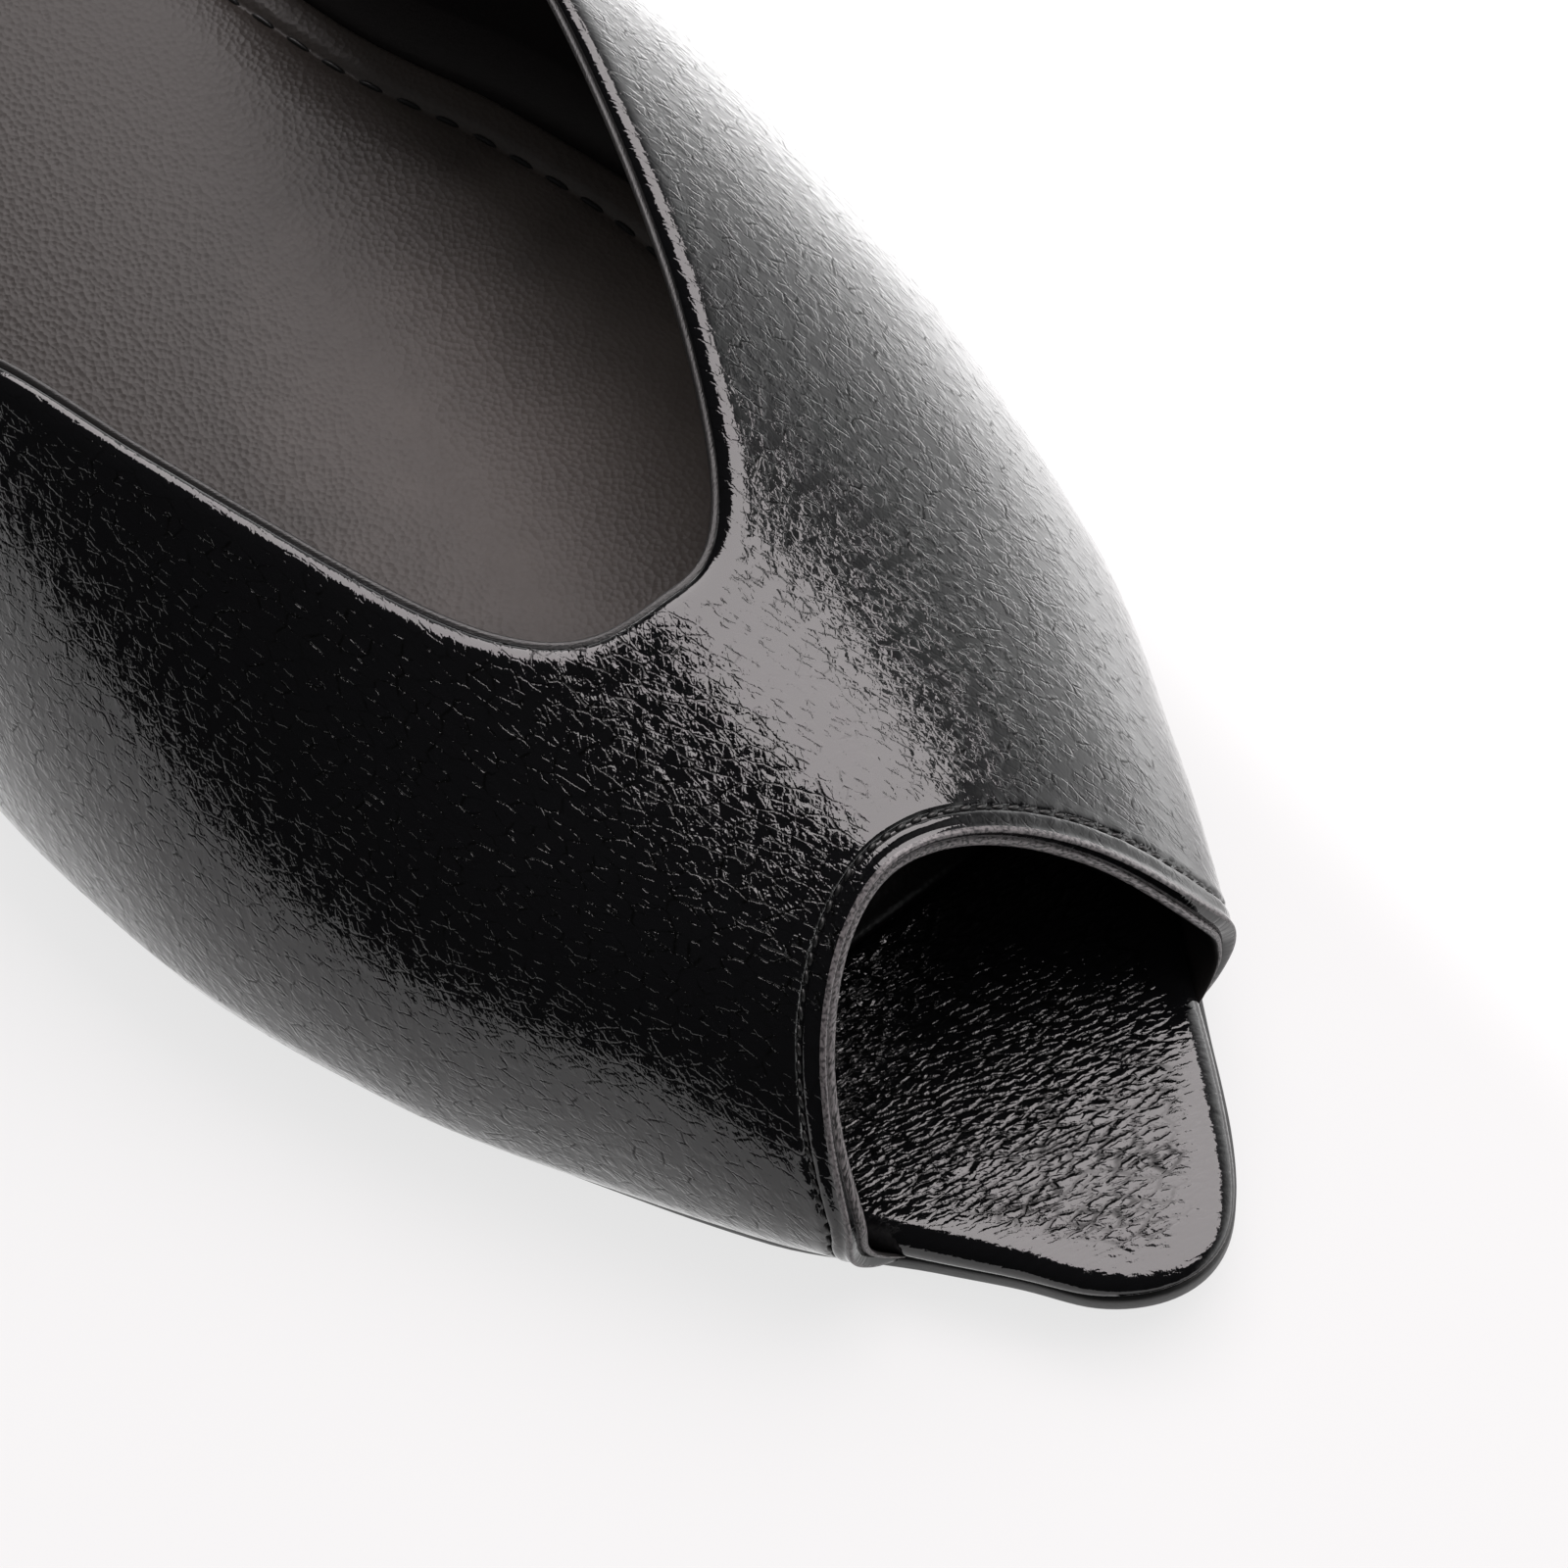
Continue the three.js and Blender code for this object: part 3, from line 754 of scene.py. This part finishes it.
def buildInsole(material):
    bottom = shoe["outsole"] + shoe["gap"]
    top = bottom + shoe["insole"]
    rimRows = insole["rimRows"]
    layers = [(inset, height, 0) for inset, height in roundEdge(insole["lowerRadius"], bottom, 1, 5)]
    edge = roundEdge(insole["edgeRadius"], top, -1)[::-1]
    layers += [(inset, height, rimRows[0][1] * (height - bottom) / (top - bottom)) for inset, height in edge]
    layers += [(inset, top, fall) for inset, fall in rimRows[1:]]
    rings, calm = [], []

    # The lateral rim stands up where the upper presses on it; the tip and the medial rim fall
    def rimFall(x, y, fall):
        lateral = 1 - float(smoothstep(x, *insole["cupAcross"]))
        flat = 1 - float(smoothstep(y, insole["fallFrom"], insole["fallTo"]))
        return fall * flat * (1 - lateral * insole["cup"])

    # The board is flatter under the toes than the sole, so its top falls a little to the tip
    def tipFall(s, share):
        return insole["tipFall"] * share * max(1 - s / insole["tipFallTo"], 0) ** insole["tipCurve"]

    for inset, height, fall in layers:
        share = (height - bottom) / (top - bottom)
        ring = ringOf(0, shoe["length"], insole["columns"], lambda s, side: 0, inset, height)
        rings.append([(x, y, z - rimFall(x, y, fall) - tipFall(y, share)) for x, y, z in ring])
        calm += [insole["rimCalm"] * (1 - float(smoothstep(inset, *insole["calmInset"])))] * len(ring)
    return slabPiece("insole_wrap", rings, material, ["insole"], calm)


outsole = {
    "columns": 150,
    "edgeRadius": 0.5,
    "medialLip": 0.4,
    "lateralLip": -0.3,
    "lip": 1.0,
    "lipRun": 10.0,
    "waistInset": 0.6,
    "back": 209.0,
}


# How far the sole stands out past the insole: little at the toe, more under the upper, and inset behind it
def outsoleGrow(s, side):
    middle = (outsole["medialLip"] + outsole["lateralLip"]) / 2
    tipLip = outsole["medialLip"] if side > 0 else outsole["lateralLip"]
    run = outsole["lipRun"]
    toeLip = middle + (tipLip - middle) * float(smoothstep(s, 0, run))
    corner = min(upper["peepCorner"].values())
    under = float(smoothstep(s, corner - run / 4, corner + run))
    behind = float(smoothstep(s, upper["collarEnd"] - run / 4, upper["collarEnd"] + run))
    grown = toeLip + (outsole["lip"] - toeLip) * under
    return grown + (-outsole["waistInset"] - grown) * behind


def buildOutsole(material):
    radius = outsole["edgeRadius"]
    layers = roundEdge(radius, 0, 1, 4) + roundEdge(radius, shoe["outsole"], -1, 4)[::-1]
    back = outsole["back"] - shoe["gap"]
    rings = [ringOf(0, back, outsole["columns"], outsoleGrow, inset, height) for inset, height in layers]
    return slabPiece("outsole_unit", rings, material, ["outsole"])


sock = {
    "columns": 110,
    "inset": 1.1,
    "front": 41.0,
    "seam": 5.2,
    # Inset from the sock's edge, then share of its thickness
    "rim": [(0.0, 0.0), (0.0, 0.45), (0.18, 0.75), (0.5, 0.92), (1.1, 1.0)],
    # Distance inward from the seam, then height over the sock's top
    "channel": [(-1.3, 0.12), (-0.7, 0.02), (-0.3, -0.3), (0.0, -0.42), (0.3, -0.3)],
    "crown": [(0.8, 0.05), (1.6, 0.3), (3.0, 0.65), (4.5, 0.95), (6.5, 1.25)],
}


def sockRing(count, inset, height):
    return ringOf(sock["front"], shoe["length"], count, lambda s, side: -sock["inset"], inset, height)


def buildSock(material):
    bottom = shoe["outsole"] + shoe["insole"] + 2 * shoe["gap"]
    top = bottom + shoe["sock"]
    seam = sock["seam"] - sock["inset"]
    layers = [(inset, bottom + shoe["sock"] * share) for inset, share in sock["rim"]]
    layers += [(seam + inset, top + swell) for inset, swell in sock["channel"] + sock["crown"]]
    rings = [sockRing(sock["columns"], inset, height) for inset, height in layers]
    return slabPiece("sock_padding", rings, material, ["sock_lining"])


heel = {
    "columns": 90,
    "steps": 24,
    "front": 209.0,
    "inset": 1.2,
    "taperFront": 4.0,
    "taperBack": 5.0,
    "taperSide": 3.6,
    "taperCurve": 1.6,
    "hollow": 1.6,
    "topPiece": 4.2,
}


def heelRing(down, zAt):
    taper = 1 - (1 - down) ** heel["taperCurve"]
    front = heel["front"] + heel["taperFront"] * taper + heel["hollow"] * math.sin(math.pi * down)
    back = shoe["length"]
    inset = heel["inset"] + heel["taperSide"] * taper
    ring = ringOf(front, back, heel["columns"], lambda s, side: -inset, 0, 0, lambda y: 0)
    shift = (heel["taperBack"] - heel["taperSide"]) * taper
    moved = []
    for x, y, _ in ring:
        y -= shift * min(max((y - front) / (back - front), 0), 1)
        moved.append((x, y, zAt(y)))
    return moved


def buildHeel(material, rubber):
    high, foot = shoe["outsole"], heel["topPiece"] + shoe["gap"]
    rings = []
    for i in range(heel["steps"] + 1):
        down = i / heel["steps"]
        rings.append(heelRing(down, lambda y: (float(soleZ(y)) + high) * (1 - down) + foot * down))
    slabPiece("heel_cover", rings, material, ["heel"], unrolled=True)
    rings = [heelRing(1, lambda y: z) for z in (heel["topPiece"], heel["topPiece"] * 0.5, 0.0)]
    slabPiece("heel_top_piece", rings, rubber, ["top_piece"])


# Stitches: short capsules of thread along a path, their ends dipping into its channel. Pitch, thread and
# sink are mm, and fill is the stitch's share of the pitch.
threadShape = {
    "rings": 7,
    "around": 8,
    "lookAhead": 0.2,
    "endDip": 0.45,
    "endRound": 0.03,
    "leanVaries": (0.7, 1.3),
    "lengthVaries": (0.94, 1.06),
}
peepStitches = {
    "pitch": 1.45, "thread": 0.4, "lean": 0.2, "fill": 0.86, "sink": 0.12, "reach": 0.93, "steps": 500,
}
sockStitches = {"pitch": 3.9, "thread": 0.55, "lean": 0.0, "fill": 0.72, "sink": 0.28, "steps": 160}


def stitchRow(name, path, normals, look, material):
    length = runLength(path)
    count = int(length[-1] / look["pitch"])
    rings, around = threadShape["rings"], threadShape["around"]
    points, faces = [], []

    def alongPath(values, at):
        return np.array([np.interp(at, length, values[:, i]) for i in range(3)])

    for k in range(count):
        at = (k + 0.5) * length[-1] / count
        centre = alongPath(path, at)
        normal = unit(alongPath(normals, at))
        tangent = unit(alongPath(path, at + threadShape["lookAhead"]) - centre)
        side = unit(np.cross(normal, tangent))
        tangent = unit(tangent + side * look["lean"] * random.uniform(*threadShape["leanVaries"]))
        side = unit(np.cross(normal, tangent))
        half = look["pitch"] * look["fill"] / 2 * random.uniform(*threadShape["lengthVaries"])
        start = len(points)
        for r in range(rings):
            t = -1 + 2 * r / (rings - 1)
            radius = look["thread"] / 2 * math.sqrt(max(1 - t ** 4, threadShape["endRound"]))
            sink = -look["thread"] * threadShape["endDip"] * t * t
            for a in range(around):
                angle = 2 * math.pi * a / around
                offset = side * math.cos(angle) * radius + normal * (math.sin(angle) * radius + sink)
                points.append(centre + tangent * half * t + offset)
        for r in range(rings - 1):
            for a in range(around):
                b = (a + 1) % around
                faces.append((start + r * around + a, start + r * around + b,
                              start + (r + 1) * around + b, start + (r + 1) * around + a))
        faces.append(tuple(start + a for a in range(around))[::-1])
        faces.append(tuple(start + (rings - 1) * around + a for a in range(around)))
    return meshPiece(name, np.array(points), faces, material)


# Calf leather, pigmented black and glazed: deep black with a wet-looking gloss, broken by fine dark cracks
glazedLeather = {
    # The darker colour goes in the cracks as painted shade, the other on the smooth surface
    "crackShadeBlack": "#040404",
    "surfaceBlack": "#070708",
    "ior": 1.5,
    "roughness": 0.08,
    "specular": 0.14,
    "coat": 1.0,
    "bare": 0.1,
    "coatRoughness": 0.05,
    "coatMask": (0.4, 1.0),
    "jagSize": 0.8,
    "jagPush": 0.5,
    "patchSize": 1.4,
    "patchEdge": (0.42, 0.58),
    "least": 0.15,
    "calming": 0.8,
    "swellSize": 1.5,
    "swellDepth": 0.02,
    # cell across and along in mm, slant in degrees, crack width as a share of the cell, depth in mm
    "cracks": [(0.95, 2.5, 24.0, 0.11, 0.03), (0.7, 1.4, -30.0, 0.14, 0.014)],
}
# The footbed's cover: the same leather, drummed first, so wrinkles run across it and fade at the rim
crinkledLeather = dict(
    glazedLeather,
    jagSize=1.1,
    jagPush=0.7,
    patchSize=4.0,
    least=0.6,
    swellSize=1.2,
    swellDepth=0.04,
    cracks=[(2.7, 0.95, -12.0, 0.3, 0.066), (1.5, 0.62, -22.0, 0.26, 0.03)],
)


# Two nets of cracks over a soft swell, jagged by noise and stronger in patches: their normal and their mask
def grainBump(tree, coordinates, look):
    jag = noiseNode(tree, coordinates, look["jagSize"], 4.0, 0.6)
    centred = addNode(tree, "ShaderNodeVectorMath", {"operation": "SUBTRACT", 1: (0.5, 0.5, 0.5)},
                      {0: jag.outputs["Color"]})
    push = look["jagPush"]
    pushed = addNode(tree, "ShaderNodeVectorMath", {"operation": "MULTIPLY_ADD", 1: (push, push, 0.0)},
                     {0: centred.outputs[0], 2: coordinates})
    patches = noiseNode(tree, coordinates, look["patchSize"], 3.0).outputs["Fac"]
    strength = mapRange(tree, patches, look["patchEdge"], (look["least"], 1.0))
    calm = addNode(tree, "ShaderNodeAttribute", {"attribute_name": "calm"}).outputs["Fac"]
    lively = mathNode(tree, "MULTIPLY_ADD", calm, -look["calming"], 1.0)
    amount = mathNode(tree, "MULTIPLY", strength, lively)
    swell = noiseNode(tree, coordinates, look["swellSize"], 3.0, 0.55).outputs["Fac"]
    normal = bumpNode(tree, swell, look["swellDepth"])
    crackMask = None
    for across, along, slant, width, depth in look["cracks"]:
        settings = {"vector_type": "TEXTURE", "Rotation": (0, 0, math.radians(slant)),
                    "Scale": (across, along, 1.0)}
        turned = addNode(tree, "ShaderNodeMapping", settings, {"Vector": pushed.outputs[0]})
        settings = {"voronoi_dimensions": "2D", "feature": "DISTANCE_TO_EDGE", "Scale": 1.0,
                    "Randomness": 1.0}
        cells = addNode(tree, "ShaderNodeTexVoronoi", settings, {"Vector": turned.outputs[0]})
        flat = mapRange(tree, cells.outputs["Distance"], (0.0, width), blend="SMOOTHSTEP")
        raised = mathNode(tree, "MULTIPLY", flat, amount)
        normal = bumpNode(tree, raised, depth, normal)
        crackMask = crackMask or mathNode(tree, "SUBTRACT", amount, raised)
    return normal, crackMask


def leatherMaterial(name, look):
    material, tree, shader = newMaterial(name)
    skin = addNode(tree, "ShaderNodeAttribute", {"attribute_name": "skinMm"})
    normal, crackShadeMask = grainBump(tree, skin.outputs["Vector"], look)
    # Darker in the cracks than on the smooth surface: painted shade in the cracks
    colour = colourRamp(tree, crackShadeMask, [(0.0, hexColour(look["surfaceBlack"])), (1.0, hexColour(look["crackShadeBlack"]))])
    tree.links.new(colour, shader.inputs["Base Color"])
    tree.links.new(normal, shader.inputs["Normal"])
    # The coat is thinned in the cracks too, so they shine less: more painted shade in the cracks
    glaze = mapRange(tree, crackShadeMask, look["coatMask"], (look["coat"], look["bare"]))
    tree.links.new(glaze, shader.inputs["Coat Weight"])
    tree.links.new(normal, shader.inputs["Coat Normal"])
    shader.inputs["Roughness"].default_value = look["roughness"]
    shader.inputs["IOR"].default_value = look["ior"]
    shader.inputs["Specular IOR Level"].default_value = look["specular"]
    shader.inputs["Coat Roughness"].default_value = look["coatRoughness"]
    return material


upperLeather = leatherMaterial("glazed_calf_leather", glazedLeather)
insoleLeather = leatherMaterial("crinkled_glazed_leather", crinkledLeather)


# Sock lining: soft goat leather, drummed and left unglazed, so it looks dull, pebbled and a little brown.
# Its colour is painted paler in the middle, a painted pool of light, and painted darker in front, a painted
# shade under the upper.
goatLeather = {
    # The pale middle colour is a painted pool of light, fading to the darker colour with painted shade
    "paintedLight": "#504946",
    "shadedDye": "#25211f",
    # The darkest colour is painted shade under the upper, in front
    "shadeUnderUpper": "#0c0b0b",
    "roughness": 0.4,
    "specular": 0.26,
    # Sizes and places in mm on the shoe
    "pebbleSize": 0.55,
    "pebbleDepth": 0.06,
    "litMiddle": (14.0, 89.0, 0.0),
    "litReach": (33.0, 56.0, 40.0),
    "shadeUnderUpperTo": (44.0, 62.0),
    "cloudSize": 1 / 0.12,
    "cloudShare": 0.35,
    "litStops": (0.25, 1.0),
}


def sockMaterial(look):
    material, tree, shader = newMaterial("drummed_goat_leather")
    skin = addNode(tree, "ShaderNodeAttribute", {"attribute_name": "skinMm"}).outputs["Vector"]
    pebbles = addNode(tree, "ShaderNodeTexVoronoi", {"Scale": 1 / look["pebbleSize"]}, {"Vector": skin})
    cloud = noiseNode(tree, skin, look["cloudSize"]).outputs["Fac"]
    # Painted light: paler round the middle and darker away from it, its edge broken by a cloud of random
    # tone
    settings = {"vector_type": "TEXTURE", "Location": look["litMiddle"], "Scale": look["litReach"]}
    fromMiddle = addNode(tree, "ShaderNodeMapping", settings, {"Vector": skin})
    away = addNode(tree, "ShaderNodeVectorMath", {"operation": "LENGTH"}, {0: fromMiddle.outputs[0]})
    paintedLight = mathNode(tree, "MULTIPLY_ADD", cloud, look["cloudShare"], away.outputs["Value"])
    near, far = look["litStops"]
    colour = colourRamp(tree, paintedLight, [(near, hexColour(look["paintedLight"])), (far, hexColour(look["shadedDye"]))])
    # Painted shade under the upper: darker towards the front
    along = addNode(tree, "ShaderNodeSeparateXYZ", links={0: skin}).outputs["Y"]
    shaded = addNode(tree, "ShaderNodeMix", {"data_type": "RGBA", 6: hexColour(look["shadeUnderUpper"])},
                     {0: mapRange(tree, along, look["shadeUnderUpperTo"]), 7: colour})
    tree.links.new(shaded.outputs[2], shader.inputs["Base Color"])
    normal = bumpNode(tree, pebbles.outputs["Distance"], look["pebbleDepth"])
    tree.links.new(normal, shader.inputs["Normal"])
    shader.inputs["Roughness"].default_value = look["roughness"]
    shader.inputs["Specular IOR Level"].default_value = look["specular"]
    return material


# One colour, or a speckle of two, over a fine grain whose size and depth are in mm
def plainMaterial(name, colourCode, roughness, grainSize, depth, darkCode=None):
    material, tree, shader = newMaterial(name)
    skin = addNode(tree, "ShaderNodeAttribute", {"attribute_name": "skinMm"})
    grain = noiseNode(tree, skin.outputs["Vector"], grainSize).outputs["Fac"]
    speckleStops = [(0.4, hexColour(darkCode or colourCode)), (0.56, hexColour(colourCode))]
    tree.links.new(colourRamp(tree, grain, speckleStops), shader.inputs["Base Color"])
    tree.links.new(bumpNode(tree, grain, depth), shader.inputs["Normal"])
    shader.inputs["Roughness"].default_value = roughness
    return material


# Black pigskin: matt and even, so that the inside of the throat stays dark
lining = plainMaterial("pigskin_lining", "#171515", 0.5, 0.3, 0.03)
# The lining's cut edge under ink: a thin black line with a shine, round the collar
inkedEdge = plainMaterial("inked_lining_edge", "#1b1a1a", 0.3, 0.24, 0.06)
# The lining's cut edge, pared and bare: a rough grey line under the peep's fold
paredEdge = plainMaterial("pared_lining_edge", "#6a6667", 0.34, 0.3, 0.1, "#232222")
# The fold's crest: a thin pale line round the peep, a painted highlight
crestPaintedHighlight = plainMaterial("crest_painted_highlight", "#575354", 0.24, 0.3, 0.04, "#2a2829")
# Moulded sole: plain black with a low sheen
unitSole = plainMaterial("moulded_sole_unit", "#161616", 0.4, 0.8, 0.05)
# Rubber: as black as the sole but dull
rubber = plainMaterial("moulded_rubber", "#121212", 0.6, 0.5, 0.05)
# Waxed thread: nearly black, with a small light on each stitch
thread = plainMaterial("waxed_thread", "#0d0d0d", 0.4, 0.15, 0.03)
print("materials made")

buildUpper([upperLeather, lining, inkedEdge, paredEdge, crestPaintedHighlight])
print("upper made")
buildInsole(insoleLeather)
buildOutsole(unitSole)
buildSock(sockMaterial(goatLeather))
buildHeel(upperLeather, rubber)
print("sole and heel made")


def buildStitches():
    reach = peepStitches["reach"]
    c = np.linspace(-reach, reach, peepStitches["steps"])
    edge = dressedPeepEdge(c)
    ds, dc, _, _ = inwardSteps(edge, c, 1.0)
    back = peepFold["stitchLine"]
    s, cc = edge + ds * back, np.clip(c + dc * back, -1, 1)
    normal = skinFrame(s, cc)[2]
    path = skinPoint(s, cc) - normal * peepStitches["sink"]
    stitchRow("peep_stitching", path, normal, peepStitches, thread)
    ring = np.array(sockRing(sockStitches["steps"], sock["seam"] - sock["inset"], 0))
    ring[:, 2] += shoe["outsole"] + shoe["insole"] + 2 * shoe["gap"] + shoe["sock"] - sockStitches["sink"]
    normals = np.tile(np.array([0.0, 0.0, 1.0]), (len(ring), 1))
    stitchRow("sock_stitching", ring, normals, sockStitches, thread)


buildStitches()
print("stitches made")


# Studio: white paper under a large softbox, a bright wall on the medial side, and black cloth on the other
studio = {
    "floorSize": 40.0,
    "floorColour": "#565354",
    "floorRoughness": 0.9,
    "floorGlow": 0.74,
    "farGlow": 0.24,
    "farFrom": 0.35,
    "farTo": 1.3,
    "spillGlow": 1.8,
    "spillFrom": 0.035,
    "spillTo": 0.1,
    "softboxWidth": 0.7,
    "softboxLength": 1.5,
    "softboxDistance": 1.05,
    "softboxTilt": (25.5, 12.0),  # degrees from overhead, to the medial side and to the heel
    "softboxPower": 18.5,
    "softboxColour": "#fff8f9",
    "softboxAim": (0.0, 60.0, 30.0),  # mm on the shoe
    "fillSize": 4.0,
    "fillHeight": 1.7,
    "fillPower": 64.0,
    "roomGlow": 0.02,
    "wallGlow": 2.05,
    "wallSide": (0.1, 0.8),
    "wallTop": (0.85, 0.0),
    "backgroundGlow": 1.0,
}


def buildStudio(settings):
    half = settings["floorSize"] / 2
    mesh = bpy.data.meshes.new("studio_floor")
    corners = [(-half, -half, 0), (half, -half, 0), (half, half, 0), (-half, half, 0)]
    mesh.from_pydata(corners, [], [(0, 1, 2, 3)])
    floor = bpy.data.objects.new("studio_floor", mesh)
    bpy.context.scene.collection.objects.link(floor)
    material, tree, shader = newMaterial("white_paper_sweep")
    shader.inputs["Base Color"].default_value = hexColour(settings["floorColour"])
    shader.inputs["Roughness"].default_value = settings["floorRoughness"]
    # The sweep glows a little all over, more far out, where the lamps don't reach, and most beside the wall
    where = addNode(tree, "ShaderNodeTexCoord")
    away = addNode(tree, "ShaderNodeVectorMath", {"operation": "LENGTH"}, {0: where.outputs["Object"]})
    farMost = settings["floorGlow"] + settings["farGlow"]
    far = mapRange(tree, away.outputs["Value"], (settings["farFrom"], settings["farTo"]),
                   (settings["floorGlow"], farMost), "SMOOTHSTEP")
    sides = addNode(tree, "ShaderNodeSeparateXYZ", links={0: where.outputs["Object"]})
    spill = mapRange(tree, sides.outputs["X"], (settings["spillFrom"], settings["spillTo"]),
                     (0.0, settings["spillGlow"]), "SMOOTHSTEP")
    shader.inputs["Emission Color"].default_value = (1, 1, 1, 1)
    tree.links.new(mathNode(tree, "ADD", far, spill), shader.inputs["Emission Strength"])
    mesh.materials.append(material)

    lamp = bpy.data.lights.new("softbox", "AREA")
    lamp.shape = "RECTANGLE"
    lamp.size, lamp.size_y = settings["softboxWidth"], settings["softboxLength"]
    lamp.energy = settings["softboxPower"]
    lamp.color = hexColour(settings["softboxColour"])[:3]
    box = bpy.data.objects.new("softbox", lamp)
    tiltX, tiltY = (math.radians(v) for v in settings["softboxTilt"])
    away = Vector((math.tan(tiltX), math.tan(tiltY), 1)).normalized()
    aim = Vector(place(settings["softboxAim"]))
    box.location = aim + away * settings["softboxDistance"]
    across = Vector((0, 1, 0)).cross(away).normalized()
    box.rotation_euler = Matrix((across, away.cross(across), away)).transposed().to_euler()
    bpy.context.scene.collection.objects.link(box)

    fillLamp = bpy.data.lights.new("fill", "AREA")
    fillLamp.size = settings["fillSize"]
    fillLamp.energy = settings["fillPower"]
    fill = bpy.data.objects.new("fill", fillLamp)
    fill.location = (0, 0, settings["fillHeight"])
    fill.visible_glossy = False
    bpy.context.scene.collection.objects.link(fill)

    # The wall's light fades upwards and round to the lateral side
    world = bpy.data.worlds.new("studio_room")
    bpy.context.scene.world = world
    world.use_nodes = True
    tree = world.node_tree
    tree.nodes.clear()
    direction = addNode(tree, "ShaderNodeTexCoord")
    axes = addNode(tree, "ShaderNodeSeparateXYZ", links={0: direction.outputs["Generated"]})
    sideways = mapRange(tree, axes.outputs["X"], settings["wallSide"], blend="SMOOTHSTEP")
    low = mapRange(tree, axes.outputs["Z"], settings["wallTop"], blend="SMOOTHSTEP")
    wall = mathNode(tree, "MULTIPLY", sideways, low)
    strength = mathNode(tree, "MULTIPLY_ADD", wall, settings["wallGlow"], settings["roomGlow"])
    rays = addNode(tree, "ShaderNodeLightPath")
    room = addNode(tree, "ShaderNodeBackground", {"Color": (1, 1, 1, 1)}, {"Strength": strength})
    paper = addNode(tree, "ShaderNodeBackground",
                    {"Color": (1, 1, 1, 1), "Strength": settings["backgroundGlow"]})
    mix = addNode(tree, "ShaderNodeMixShader", None,
                  {"Fac": rays.outputs["Is Camera Ray"], 1: room.outputs[0], 2: paper.outputs[0]})
    addNode(tree, "ShaderNodeOutputWorld", None, {"Surface": mix.outputs[0]})
    bpy.context.scene.view_settings.view_transform = "Standard"


buildStudio(studio)
print("studio made")
